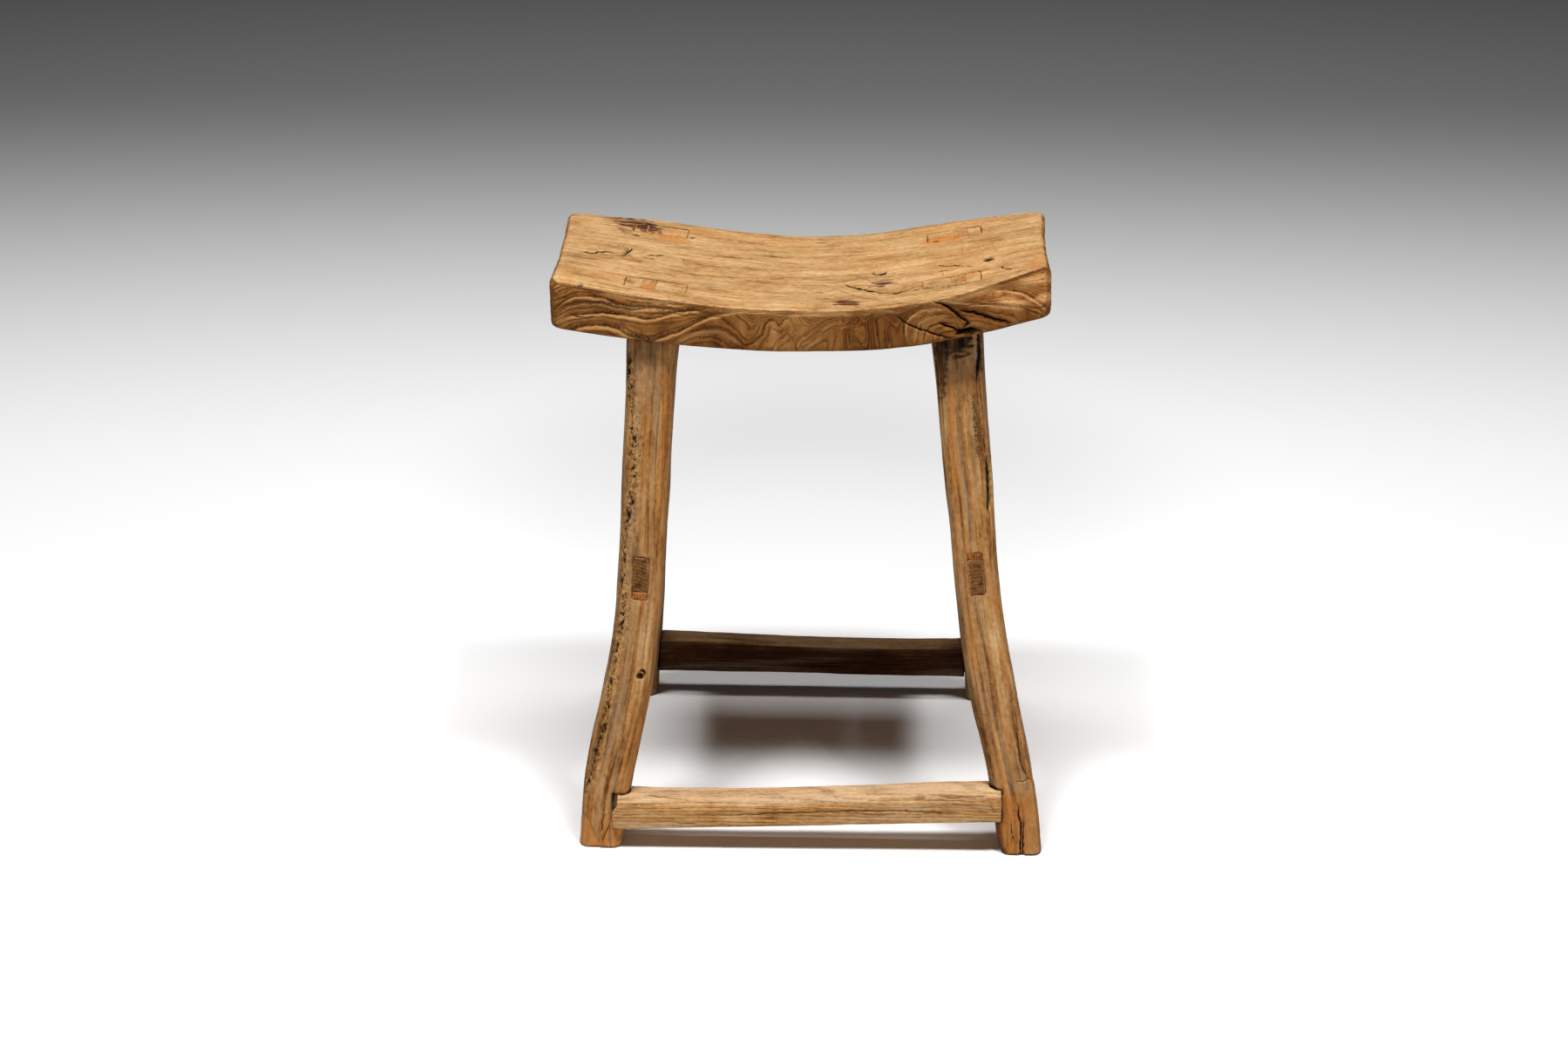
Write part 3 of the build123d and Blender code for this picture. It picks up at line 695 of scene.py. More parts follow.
ORANGE_SPOTS = (((1083, 275), 26, 3.4, -12, 1.0), ((747, 268), 7, 3.2, 10, 0.8),
                ((771, 273), 20, 4.4, 8, 0.75), ((744, 330), 10, 4.6, 10, 0.85),
                ((1112, 317), 14, 2.6, -22, 0.6), ((700, 318), 30, 6.0, 0, 0.25),
                ((650, 322), 10, 16, 0, 0.35), ((1190, 300), 12, 14, 0, 0.35),
                ((1110, 300), 60, 24, -10, 0.16), ((1100, 258), 60, 10, -14, 0.25),
                ((1010, 300), 30, 20, 0, 0.12), ((840, 272), 110, 5, 6, 0.2))


def stain_top(wood, top):
    """The stains and spots of the seat's top, on whatever piece of wood comes to the surface there."""
    streaks = np.clip(0.6 + 0.8 * hills(wood.places, (22, 4, 4), 41), 0, 1)
    for *oval, strength in PURPLE_STAINS:
        wood.mark(stain=strength * patch(wood, *oval, 0.6) * top * streaks)
    for *oval, strength in BROWN_SPOTS:
        wood.mark(dirt_and_shade=0.6 * strength * patch(wood, *oval, 0.5) * top)
    for *oval, strength in ORANGE_SPOTS:
        wood.mark(red=strength * patch(wood, *oval, 0.4) * top)


stain_top(seat, top)
arris = seat.faces(UP, 0.1, 0.45) * seat.faces(UP, 0.97, 0.75)
seat.mark(honey=seat.faces(UP, 0.74, 0.95),
          wear_and_highlight=0.7 * arris * ramp(hills(seat.places, (30, 10, 10), 15), -0.3, 0.4),
          dirt_and_shade=0.16 * top * ramp(y, 82, 112))
print(len(PURPLE_STAINS) + len(BROWN_SPOTS) + len(ORANGE_SPOTS), "stains and spots")

# %% [markdown]
# ## How a piece of old elm is coloured
# A finish is a net of small steps, each of which takes numbers or colours and gives one. Short names for
# the steps keep the finish below readable. Colours are written as a picture shows them.

# %% Short ways to work with numbers in a finish
class Numbers:
    """A material and short ways to add nodes to it. Each way gives the socket that holds its result."""

    def __init__(self, name):
        self.material = bpy.data.materials.new(name)
        self.material.use_nodes = True
        self.tree = self.material.node_tree
        self.shader = self.tree.nodes["Principled BSDF"]

    def put(self, socket, value):
        """Lead a result into a socket, or set the socket to a plain number or colour."""
        if isinstance(value, bpy.types.NodeSocket):
            self.tree.links.new(value, socket)
        else:
            socket.default_value = value

    def mark(self, name, output="Fac"):
        """A mark that was hung on the mesh: dirty or worn places, painted shade and highlights and so on,
        or the grain's own three directions.
        """
        node = self.tree.nodes.new("ShaderNodeAttribute")
        node.attribute_name = name
        return node.outputs[output]

    def figure(self, grain, size, detail=2.0, strength=0.5):
        """Random figure in the wood, with size millimetres between streaks along, across and through."""
        scale = self.tree.nodes.new("ShaderNodeVectorMath")
        scale.operation = "DIVIDE"
        self.put(scale.inputs[0], grain)
        self.put(scale.inputs[1], size)
        noise = self.tree.nodes.new("ShaderNodeTexNoise")
        self.put(noise.inputs["Vector"], scale.outputs[0])
        self.put(noise.inputs["Scale"], 1.0)
        self.put(noise.inputs["Detail"], detail)
        self.put(noise.inputs["Roughness"], strength)
        return noise.outputs["Fac"]

    def ramp(self, value, low, high, bottom=0.0, top=1.0):
        """bottom below low and top above high, with a smooth rise between."""
        node = self.tree.nodes.new("ShaderNodeMapRange")
        node.interpolation_type = "SMOOTHSTEP"
        for name, number in (("Value", value), ("From Min", low), ("From Max", high),
                             ("To Min", bottom), ("To Max", top)):
            self.put(node.inputs[name], number)
        return node.outputs[0]

    def sum(self, operation, first, second=0.0):
        """Two numbers added, multiplied and so on."""
        node = self.tree.nodes.new("ShaderNodeMath")
        node.operation = operation
        self.put(node.inputs[0], first)
        self.put(node.inputs[1], second)
        return node.outputs[0]

    def times(self, first, second):
        """Two numbers multiplied."""
        return self.sum("MULTIPLY", first, second)

    def add(self, first, second):
        """Two numbers added."""
        return self.sum("ADD", first, second)

    def swing(self, total, figure, weight):
        """A total with a figure added, as much above or below it as the figure is from its middle."""
        return self.add(total, self.times(self.add(figure, -0.5), weight))


print("ways to work with numbers:", ", ".join(way for way in vars(Numbers) if way[0] != "_"))

# %% [markdown]
# Colours need the same: one laid over another by a share, and a row of them picked by a tone.

# %% Short ways to work with colours in a finish
def colour(red, green, blue):
    """A colour as a picture shows it, from 0 to 255, turned into the amount of light it gives back."""
    steps = (red / 255, green / 255, blue / 255)
    light = [step / 12.92 if step < 0.04 else ((step + 0.055) / 1.055) ** 2.4 for step in steps]
    return (*light, 1.0)


class Finish(Numbers):
    """A finish: what it takes to work with numbers, and with colours too."""

    def mix(self, share, first, second):
        """One colour over another, as much of the second as share says."""
        node = self.tree.nodes.new("ShaderNodeMix")
        node.data_type = "RGBA"
        self.put(node.inputs[0], share)
        self.put(node.inputs[6], first)
        self.put(node.inputs[7], second)
        return node.outputs[2]

    def palette(self, tone, colours):
        """A row of colours from dark to pale, picked by the tone from 0 to 1."""
        node = self.tree.nodes.new("ShaderNodeValToRGB")
        row = node.color_ramp.elements
        for _ in colours[2:]:
            row.new(0.5)
        for step, (stop, shade) in enumerate(zip(row, colours)):
            stop.position = step / (len(colours) - 1)
            stop.color = colour(*shade)
        self.put(node.inputs[0], tone)
        return node.outputs[0]


print("a middle grey gives back", round(colour(128, 128, 128)[0], 3), "of the light")

# %% [markdown]
# Elm grows in rings of soft, coarse early wood and hard late wood. The mark called rings counts them, and
# its fraction tells where in a ring a point lies. Rotten wood has small dark pits, and the same pits darken
# the painted shade above the seat's shelves. A crack is dark up to its width, with an edge that frays along
# the fibres.

# %% Early wood, pits and cracks
def early_wood(wood, grain):
    """1 in the early wood of each growth ring, and 0 in the late wood."""
    wavy = wood.times(wood.figure(grain, (60, 7, 7), 2), 0.35)
    layer = wood.sum("FRACT", wood.add(wood.mark("rings"), wavy))
    return wood.times(wood.ramp(layer, 0.5, 0.8), wood.ramp(layer, 1.0, 0.9))


def rot_and_shade_pits(wood, grain):
    """1 in the small pits of rotten wood, and of the painted shade above the seat's shelves."""
    rot_and_shade = wood.mark("rot_and_shade")
    pits = wood.add(wood.figure(grain, (1.5, 0.9, 0.9), 2, 0.6), wood.times(rot_and_shade, 0.12))
    return wood.times(wood.ramp(pits, 0.58, 0.74), wood.ramp(rot_and_shade, 0.05, 0.6))


def crack_line(wood, fibre):
    """1 in a crack, from the distance to it and its width, which both hang on the mesh."""
    fray = wood.times(wood.add(fibre, -0.5), 0.9)
    away = wood.add(wood.sum("ABSOLUTE", wood.mark("crack_side")), fray)
    width = wood.mark("crack_width")
    crack = wood.ramp(away, wood.add(width, 0.25), wood.times(width, 0.5))
    crack = wood.times(crack, wood.ramp(width, 0.0, 0.5, 0.25, 1.0))
    return wood.times(crack, wood.ramp(width, 0.01, 0.06))


print("marks that are read here: rings, rot, crack_side, crack_width")

# %% [markdown]
# One number, the tone, is mixed from streaks that are stretched along the grain, from fibres, lumps and
# growth layers. A row of five colours, dark to pale, turns the tone into wood, and rubbing shifts it to
# honey. Each mark then goes over it: weather makes it grey, bare wood is red, a rubbed edge and a painted
# highlight are bright, and dirt and painted shade darken the hollows. The same streaks and pores drive the
# roughness and the bump.

# %% Old elm
HONEY = ((136, 90, 44), (181, 134, 82), (203, 158, 104), (218, 174, 121), (234, 198, 148))
PORE = colour(66, 38, 16)
DIRT_AND_SHADE_DARK = colour(26, 12, 4)
PURPLE = colour(88, 46, 32)
RED_WOOD = colour(212, 132, 60)
WEATHER_GREY = colour(172, 144, 116)
WEAR_AND_HIGHLIGHT_BRIGHT = colour(224, 170, 106)
GLOSS = 0.14
BUMP_DEPTH = 0.0012


def old_elm(name, body_colours, pore_strength=0.5, streak=1.0, weathered=WEATHER_GREY):
    """Old elm with its own body colours; its marks make it honey coloured, red, grey, stained, dirty,
    darker with painted shade, or bright where worn or given a painted highlight.
    """
    wood = Finish(name)
    grain = wood.mark("grain", "Vector")
    honey = wood.mark("honey")
    broad = wood.figure(grain, (60, 18, 15), 4, 0.6)
    streaks = wood.figure(grain, (90, 3.0, 2.4), 3, 0.6)
    fibre = wood.figure(grain, (32, 0.8, 0.8), 3, 0.65)
    pores = wood.figure(grain, (5.5, 0.42, 0.42), 2, 0.6)
    lumps = wood.figure(grain, (6.0, 4.0, 3.0), 3, 0.6)
    early = early_wood(wood, grain)
    pore = wood.ramp(wood.add(pores, wood.times(early, 0.10)), 0.60, 0.70)
    pitted = rot_and_shade_pits(wood, grain)
    crack = crack_line(wood, fibre)

    tone = wood.swing(0.5, streaks, wood.times(wood.ramp(honey, 0.0, 1.0, streak, 1.0), 1.1))
    for figure, weight in ((fibre, 0.75), (broad, 1.7), (lumps, 0.8)):
        tone = wood.swing(tone, figure, weight)
    faint = wood.ramp(wood.figure(grain, (35, 14, 12), 2), 0.35, 0.65, 0.25, 1.0)
    lines = wood.times(wood.ramp(honey, 0.0, 1.0, -0.27, -0.16), faint)
    tone = wood.add(tone, wood.times(early, lines))
    body = wood.mix(honey, wood.palette(tone, body_colours), wood.palette(tone, HONEY))
    grey = wood.times(wood.mark("grey"), wood.ramp(wood.add(streaks, fibre), 0.85, 1.15, 0.4, 1.0))
    red = wood.times(wood.mark("red"), wood.ramp(streaks, 0.3, 0.6, 0.6, 1.0))
    # Dirt marks include painted shade, and wear marks include painted highlights.
    for share, shade in ((grey, weathered), (red, RED_WOOD), (wood.mark("wear_and_highlight"), WEAR_AND_HIGHLIGHT_BRIGHT),
                         (wood.times(pore, pore_strength), PORE), (wood.mark("stain"), PURPLE),
                         (wood.ramp(wood.mark("dirt_and_shade"), 0.0, 1.0), DIRT_AND_SHADE_DARK),
                         (wood.times(pitted, 0.96), DIRT_AND_SHADE_DARK), (crack, DIRT_AND_SHADE_DARK)):
        body = wood.mix(share, body, shade)
    wood.put(wood.shader.inputs["Base Color"], body)

    dullness = wood.ramp(streaks, 0.3, 0.7, 0.78, 0.62)
    dullness = wood.add(dullness, wood.times(wood.sum("MAXIMUM", pore, pitted), 0.2))
    dullness = wood.add(dullness, wood.times(wood.mark("wear_and_highlight"), -0.2))
    wood.put(wood.shader.inputs["Roughness"], dullness)
    wood.shader.inputs["Specular IOR Level"].default_value = GLOSS

    height = wood.times(streaks, 0.55)
    for figure, weight in ((fibre, 0.22), (lumps, 0.8), (early, -0.35), (pore, -0.12),
                           (wood.sum("MAXIMUM", pitted, crack), -0.35)):
        height = wood.add(height, wood.times(figure, weight))
    bump = wood.tree.nodes.new("ShaderNodeBump")
    bump.inputs["Strength"].default_value = 1.0
    bump.inputs["Distance"].default_value = BUMP_DEPTH
    wood.put(bump.inputs["Height"], height)
    wood.put(wood.shader.inputs["Normal"], bump.outputs[0])
    print(name, "has", len(wood.tree.nodes), "nodes")
    return wood.material


# %% [markdown]
# The seat is waxed by use, the legs are weathered, the front and side rails are rubbed pale, the rear rail
# is dark wood whose colours are darkened further as painted shade under the seat, and the wedges are a
# harder, redder wood.

# %% The five kinds of elm on the stool
RUBBED_GREY = colour(224, 192, 156)

seat_wood = old_elm("seat_elm_worn", ((98, 50, 14), (136, 82, 32), (159, 103, 47), (180, 124, 65),
                                      (208, 155, 97)), pore_strength=0.5, streak=0.4)
leg_wood = old_elm("leg_elm_weathered", ((124, 74, 32), (172, 118, 62), (200, 146, 86), (217, 168, 110),
                                         (235, 195, 142)), pore_strength=0.3)
rail_wood = old_elm("rail_elm_rubbed", ((154, 98, 44), (200, 142, 80), (222, 166, 102), (232, 186, 128),
                                        (241, 206, 158)), pore_strength=0.4, weathered=RUBBED_GREY)
# Dark wood, darkened further as painted shade under the seat.
dark_shaded_rail_wood = old_elm("rail_elm_dark_and_shaded", ((42, 16, 2), (58, 26, 5), (70, 34, 8), (86, 48, 16),
                                           (110, 72, 34)))
wedge_wood = old_elm("wedge_hardwood", ((112, 58, 22), (152, 86, 36), (178, 106, 48), (196, 126, 62),
                                        (212, 150, 86)), pore_strength=0.4)
seat.finish("seat_elm", seat_wood)

# %% [markdown]
# ## The legs
# Each leg is a young trunk or a thick branch, squared with a few axe cuts, so it keeps its bend and its
# wavy edges. Its grain runs with the bend, and so the leg's own middle line is measured from the solid
# first, from even slices between the foot and the seat.

# %% The middle line of a leg
LEG_SLICES = 30
LEG_SLICE_HALF = 6
SIDEWAYS_POWER = 5
FORWARD_POWER = 2


def middle_line(wood):
    """The places of a leg's middle, as smooth curves of its height."""
    x, y, z = wood.places.T
    slices = np.linspace(z.min() + 8, z.max() - 40, LEG_SLICES)
    bands = [np.abs(z - height) < LEG_SLICE_HALF for height in slices]
    curves = []
    for side, power in ((x, SIDEWAYS_POWER), (y, FORWARD_POWER)):
        middles = [(side[band].min() + side[band].max()) / 2 for band in bands]
        curves.append(np.polyval(np.polyfit(slices, middles, power), z))
    return curves


print("a leg's middle is taken from", LEG_SLICES, "slices of it")

# %% [markdown]
# The growth rings of a leg lie round a pith that is never quite in the middle, which is why the streaks are
# close together on one side and wide on the other. Weather greyed and dirtied the leg in streaks, painted
# shade darkens it under the seat and at the foot, painted shade and dirt darken it at the joints, and the
# tenon's end in the seat was rubbed with the seat.

# %% What every leg went through
LEG_LAYER = 2.4
PITH_BACK = 9
HEAD_GRAIN = 2.0
LEG_LUMPS = 0.8
LEG_ROUGH = 0.6
LEG_EATEN = 0.22
LEG_RIDGES = 0.16
JOINED_TO_LEGS = ("seat", "stretcher_front", "stretcher_rear")


def weather_leg(wood, seed, pith_side):
    """Axe facets, growth rings, raised grain and soft lumps, which every leg has, with dirty streaks and
    painted shade under the seat, at the joints and at the foot.
    """
    x, y, z = wood.places.T
    middle_x, middle_y = middle_line(wood)
    bend, lean = (1.6 * hills(wood.places, (60, 60, 110), seed + step) for step in (0, 1))
    grain = np.column_stack((z, x - middle_x + bend, y - middle_y + lean))

    def figure(step, *size):
        return hills(grain, size, seed + step)

    body = ramp(z, SEAT_BELOW + 4, SEAT_BELOW - 6)
    rings = np.hypot(grain[:, 1] - pith_side, grain[:, 2] - PITH_BACK) / LEG_LAYER
    wood.mark(grain=np.where(z[:, None] < TENON_LEVEL, grain, np.column_stack((HEAD_GRAIN * x, y, z))),
              rings=np.where(z < TENON_LEVEL, rings, 0.35 * y))
    lumps = LEG_LUMPS * hills(wood.places, (45, 45, 75), seed + 2)
    wood.cut((lumps + LEG_ROUGH * rough(grain, (50, 9, 9), seed + 3)) * body * ramp(z, 2, 20))
    eaten = ramp(rings - np.floor(rings), 0.35, 0.85) * ramp(figure(4, 90, 14, 14), -0.5, 0.3)
    wood.cut((LEG_EATEN * eaten + LEG_RIDGES * figure(5, 70, 2.8, 2.8)) * body)
    wood.mark(grey=0.55 * ramp(figure(6, 90, 6, 6), -0.2, 0.5) * body,
              red=0.30 * ramp(figure(7, 150, 5, 5), 0.0, 0.5) * body,
              dirt_and_shade=0.22 * ramp(figure(8, 100, 5, 5), 0.15, 0.55) * body,
              rot_and_shade=0.35 * eaten * ramp(figure(9, 60, 9, 9), 0.1, 0.5) * body,
              honey=1 - body)
    # Painted shade darkens the top of each leg under the seat and the lowest 3 mm of its foot.
    shade_under_seat = (0.26 + 0.2 * figure(10, 60, 3, 3)) * ramp(z, SEAT_BELOW - 34, SEAT_BELOW - 2) * body
    wood.mark(dirt_and_shade=shade_under_seat + 0.4 * ramp(z, 3.0, 0.5))
    joint_shade_and_dirt(wood, *JOINED_TO_LEGS)
    stain_top(wood, wood.faces(UP, 0.6, 0.9) * (1 - body))
    return grain, body


print("a leg has rings of", LEG_LAYER, "mm, round a pith", PITH_BACK, "mm behind its middle")

# %% [markdown]
# ## The front left leg
# Beetles ate this leg just under the bark. Where the rotten skin fell away, it left a pale, pitted channel
# down the outer edge. The foot is split, and its outer heel is broken off down to bare, orange wood. A peg
# or a nail once went into the small round hole.

# %% Marks on the front left leg, in the picture's pixels
BEETLE_CHANNEL = ((719, 395), (720, 411), (725, 457), (729, 507), (729, 545), (725, 580), (719, 618),
                  (715, 665), (717, 707), (711, 738), (703, 776), (698, 815), (692, 842), (685, 868),
                  (678, 892), (673, 916))
LEFT_LEG_CRACKS = (
    (((694, 932), (691, 945), (688, 957)), 1.1, 2.0),
    (((701, 943), (695, 956), (690, 968)), 1.1, 2.2),
    (((706, 924), (702, 935), (699, 945)), 0.9, 1.2),
    (((697, 925), (699, 932), (697, 938)), 0.7, 0.8),
    (((738, 506), (738, 514)), 1.3, 1.0),
    (((729, 700), (727, 740), (722, 790)), 0.4, 0.3),
    (((720, 812), (714, 850), (707, 884)), 0.5, 0.4),
)
BARE_HEEL = ((655, 926), (664, 929), (672, 934), (680, 951), (690, 973))
PEG_HOLE = ((737, 773), 4.4, 4.6, 0, 0.05)
PEG_DEPTH = 4.0
HEEL_TOP = (40, 34)
LEFT_FOOT_TOP = (42, 24)
HEEL_DEPTH = 1.2
print(len(LEFT_LEG_CRACKS), "cracks, and a channel through", len(BEETLE_CHANNEL), "points")

# %% [markdown]
# The channel is shallow at its sides and deepest along its heart, where holes and galleries run.

# %% The beetle channel
def eat_channel(wood, grain, front):
    """The channel that beetles left in the leg's outer edge, with crumbs, holes and galleries in it."""
    channel, along = follow(wood, BEETLE_CHANNEL, 3.0)
    wide = 5.2 + 1.6 * hills(wood.places, (30, 30, 34), 230)
    shown = taper(along, 0.03) * front
    eaten = ramp(np.abs(channel), wide + 2.0, wide - 1.0) * shown
    heart = ridge(channel + 2.2, 2.6) * eaten
    holes = ramp(hills(wood.places, (2.6, 2.6, 5.0), 232), 0.12, 0.42)
    crumbs = hills(wood.places, (3.2, 3.2, 4.2), 239)
    galleries = ramp(np.abs(hills(grain, (26, 5, 5), 231)), 0.12, 0.02)
    wood.cut(eaten * (0.6 + 0.7 * rough(wood.places, (9, 5, 14), 233) + 0.5 * crumbs))
    wood.cut(heart * (1.2 * holes + 0.7 * galleries))
    pale = ramp(crumbs, 0.2, -0.3) * ramp(hills(wood.places, (8, 6, 20), 234), -0.6, 0.1)
    edge = ridge(np.abs(channel) - wide - 1.6, 1.4) * shown
    dust = 0.2 * eaten * ramp(crumbs, 0.0, 0.5)
    wood.mark(wear_and_highlight=0.75 * eaten * pale,
              rot_and_shade=0.45 * eaten + 0.4 * heart,
              dirt_and_shade=dust + heart * (0.9 * holes + 0.3 * galleries) + 0.22 * edge)


print("it runs", round(math.dist(BEETLE_CHANNEL[0], BEETLE_CHANNEL[-1])), "pixels down the picture")

# %% [markdown]
# The rest of the leg follows: its orange right side, the cracks, the bare heel and the hole.

# %% The front left leg
def weather_front_left(wood):
    """The beetle channel, the cut foot and the orange right side of the front left leg."""
    grain, body = weather_leg(wood, 200, -6)
    height = wood.places[:, 2]
    front = wood.faces(FRONTWARD, 0.1, 0.5) * body
    eat_channel(wood, grain, front)
    orange = ramp(grain[:, 1], 6, 14) * front
    wood.mark(dirt_and_shade=0.14 * wood.faces(LEFTWARD, 0.25, 0.75) * body,
              red=0.28 * orange * ramp(hills(grain, (80, 7, 7), 236), -0.5, 0.2),
              grey=-0.2 * orange)
    cut_cracks(wood, LEFT_LEG_CRACKS)
    facet, _ = follow(wood, BARE_HEEL, 1.2)
    heel = ramp(height, *HEEL_TOP) * front
    bare = ramp(facet, 1.0, -1.0) * ramp(facet, -32, -26) * heel
    wood.cut(HEEL_DEPTH * bare)
    wood.mark(red=0.8 * bare, grey=-0.6 * bare,
              wear_and_highlight=bare * (0.3 + 0.2 * hills(wood.places, (5, 5, 9), 237)),
              dirt_and_shade=0.5 * ridge(facet - 1.0, 1.3) * heel - 0.5 * bare)
    foot = ramp(height, *LEFT_FOOT_TOP) * front
    hole = patch(wood, *PEG_HOLE) * front
    wood.cut(PEG_DEPTH * hole)
    wood.mark(red=0.55 * foot * ramp(hills(grain, (30, 8, 8), 238), -0.4, 0.3),
              dirt_and_shade=1.2 * hole - 0.15 * foot)


leg = Blank("leg_front_left", FINE_SQUARE)
weather_front_left(leg)
leg.finish("leg_elm", leg_wood)

# %% [markdown]
# ## The front right leg
# A dark stain runs down this leg from the seat, along a wide split. Its lower corner broke away, which left
# a step and an orange, split foot.

# %% Marks on the front right leg, in the picture's pixels
RIGHT_LEG_CRACKS = (
    (((1127, 345), (1126, 372), (1126, 392), (1125, 408), (1123, 422), (1121, 440)), 9.0, 3.0),
    (((1131, 520), (1134, 535), (1135, 549), (1136, 570), (1135, 592)), 6.0, 4.0),
    (((1127, 500), (1130, 512), (1131, 524)), 1.0, 1.6),
    (((1117, 449), (1118, 480), (1120, 507), (1121, 524)), 0.6, 0.8),
    (((1124, 610), (1125, 618)), 1.1, 0.8),
    (((1104, 640), (1110, 700), (1118, 760)), 0.4, 0.3),
    (((1127, 720), (1134, 770), (1141, 816)), 0.5, 0.4),
    (((1168, 918), (1169, 935), (1171, 950), (1171, 990)), 2.4, 3.0),
    (((1174, 938), (1174, 962), (1174, 990)), 2.2, 3.0),
    (((1160, 940), (1161, 955), (1164, 968)), 1.6, 1.2),
    (((1161, 945), (1160, 958), (1160, 972)), 0.6, 0.8),
    (((1165, 898), (1174, 897), (1184, 892)), 0.9, 1.2),
    (((1168, 832), (1169, 856), (1171, 876), (1180, 892), (1187, 897)), 1.6, 2.0),
    (((1177, 852), (1179, 866), (1182, 880)), 1.0, 0.8),
    (((1124, 819), (1129, 820), (1134, 823)), 0.7, 0.5),
)
RIGHT_LEG_STEP = ((1158, 805), (1165, 811), (1167, 822), (1168, 844), (1170, 864), (1170, 876), (1177, 889),
                  (1186, 898))
STAINS_BELOW_SEAT = (((1092, 388), 30, 26, 0, 0.5), ((1080, 410), 10, 52, 2, 0.5))
TAN_PATCH = ((1126, 400), 16, 30, 0, 0.6)
DARK_STREAK = ((1127, 370), (1126, 400), (1124, 432))
RED_STREAKS = (
    (((1138, 640), (1139, 680), (1144, 726), (1152, 765), (1160, 806)), 4.0, 0.8),
    (((1090, 418), (1092, 490), (1096, 572)), 2.6, 0.7),
    (((1106, 600), (1112, 690), (1122, 780)), 3.0, 0.5),
)
PITTED_STREAK = ((1117, 445), (1119, 480), (1121, 507), (1123, 530))
RIGHT_FOOT_TOP = (64, 50)
print(len(RIGHT_LEG_CRACKS), "cracks and", len(RED_STREAKS), "red streaks")

# %% [markdown]
# The splits come first here, then the stain and the red wood, the broken corner and the pitted streak, and
# painted shade on the inner side.

# %% The front right leg
def weather_front_right(wood):
    """The stain, the splits and the broken lower corner of the front right leg, and painted shade on its
    inner side.
    """
    grain, body = weather_leg(wood, 300, 5)
    height = wood.places[:, 2]
    front = wood.faces(FRONTWARD, 0.0, 0.4) * body
    corner = np.maximum(front, wood.faces(RIGHTWARD, -0.2, 0.4) * body)
    cut_cracks(wood, RIGHT_LEG_CRACKS)
    dark = np.maximum(*(patch(wood, *oval) for oval in STAINS_BELOW_SEAT)) * front
    streak = line_mark(wood, DARK_STREAK, 4.5) * front
    wood.mark(dirt_and_shade=dark * (0.60 + 0.25 * rough(grain, (60, 3, 3), 331)) + 0.6 * streak,
              grey=0.35 * patch(wood, *TAN_PATCH) * front)
    broken_up = ramp(hills(grain, (60, 4, 4), 336), -0.5, 0)
    for line, width, strength in RED_STREAKS:
        wood.mark(red=strength * line_mark(wood, line, width) * front * broken_up)
    foot = ramp(height, *RIGHT_FOOT_TOP) * front
    wood.mark(red=foot * (0.62 + 0.3 * hills(grain, (30, 10, 10), 332)), grey=-0.6 * foot, dirt_and_shade=0.2 * foot)
    distance, along = follow(wood, RIGHT_LEG_STEP, 1.0)
    broken = ramp(distance, -0.8, 0.8) * ramp(distance, 16, 9) * taper(along, 0.05) * corner
    wood.cut(broken * (1.2 + 0.9 * rough(wood.places, (9, 6, 14), 333)))
    pits = line_mark(wood, PITTED_STREAK, 3.4) * front
    lip = ridge(distance, 1.1) * taper(along, 0.06) * corner
    # The inner side faces away from the lamps, so its lower part is darkened with painted shade.
    shaded_inner_side = wood.faces(LEFTWARD, 0.25, 0.7) * body * ramp(height, 300, 200)
    wood.mark(rot_and_shade=0.45 * broken + pits,
              red=0.3 * broken,
              wear_and_highlight=0.35 * broken * ramp(hills(wood.places, (5, 5, 12), 337), -0.4, 0.4),
              dirt_and_shade=0.42 * shaded_inner_side + 0.5 * lip + 0.25 * pits)


leg = Blank("leg_front_right", FINE_SQUARE)
weather_front_right(leg)
leg.finish("leg_elm", leg_wood)

# %% [markdown]
# The rear legs had the same life, but no beetles and no broken corner.

# %% The rear legs
for name, seed, pith_side in (("leg_rear_left", 400, 4), ("leg_rear_right", 500, -5)):
    leg = Blank(name, COARSE_SQUARE)
    weather_leg(leg, seed, pith_side)
    leg.finish("leg_elm", leg_wood)

# %% [markdown]
# ## The rails
# A rail was split from a straight branch, so its growth rings lie round a pith under it and its grain runs
# evenly from end to end. Feet and hands rubbed it on top.

# %% What every rail went through
RAIL_LAYER = 3.0
PITH_BELOW = 12


def weather_rail(wood, seed, along_axis=0, rubbed=0.0):
    """Growth rings, raised grain and soft wear along a rail."""
    x, y, z = wood.places.T
    lengthwise, across = (x, y) if along_axis == 0 else (y, x)
    bend = 2.5 * hills(wood.places, (90, 90, 90), seed)
    side = across - across.mean() + bend
    high = z - z.min() + bend
    grain = np.column_stack((lengthwise, side, high))

    def figure(step, *size):
        return hills(grain, size, seed + step)

    rings = np.hypot(side, high + PITH_BELOW) / RAIL_LAYER
    eaten = ramp(rings - np.floor(rings), 0.35, 0.85) * ramp(figure(1, 90, 12, 12), -0.5, 0.3)
    wood.cut(0.6 * figure(2, 60, 25, 25) + 0.25 * rough(grain, (40, 7, 7), seed + 3))
    wood.cut(0.20 * eaten + 0.12 * figure(4, 60, 2.6, 2.6))
    top = rubbed * wood.faces(UP, 0.25, 0.75)
    wood.mark(grain=grain, rings=rings, honey=0.2 * top,
              grey=0.35 * ramp(figure(5, 140, 11, 11), -0.1, 0.4) + 0.75 * top,
              dirt_and_shade=0.16 * ramp(figure(6, 110, 4, 4), 0.1, 0.5),
              wear_and_highlight=0.18 * top * ramp(figure(7, 60, 8, 8), -0.2, 0.4))


print("a rail has rings of", RAIL_LAYER, "mm, round a pith", PITH_BELOW, "mm below it")

# %% [markdown]
# ## The low rails
# The low rails took the feet of everybody who sat here. The front one is rubbed pale and round on top, and
# its lower face is split along the grain. Its ends are blunt where they lap over the legs: each is worn
# back by some millimetres, more towards its top.

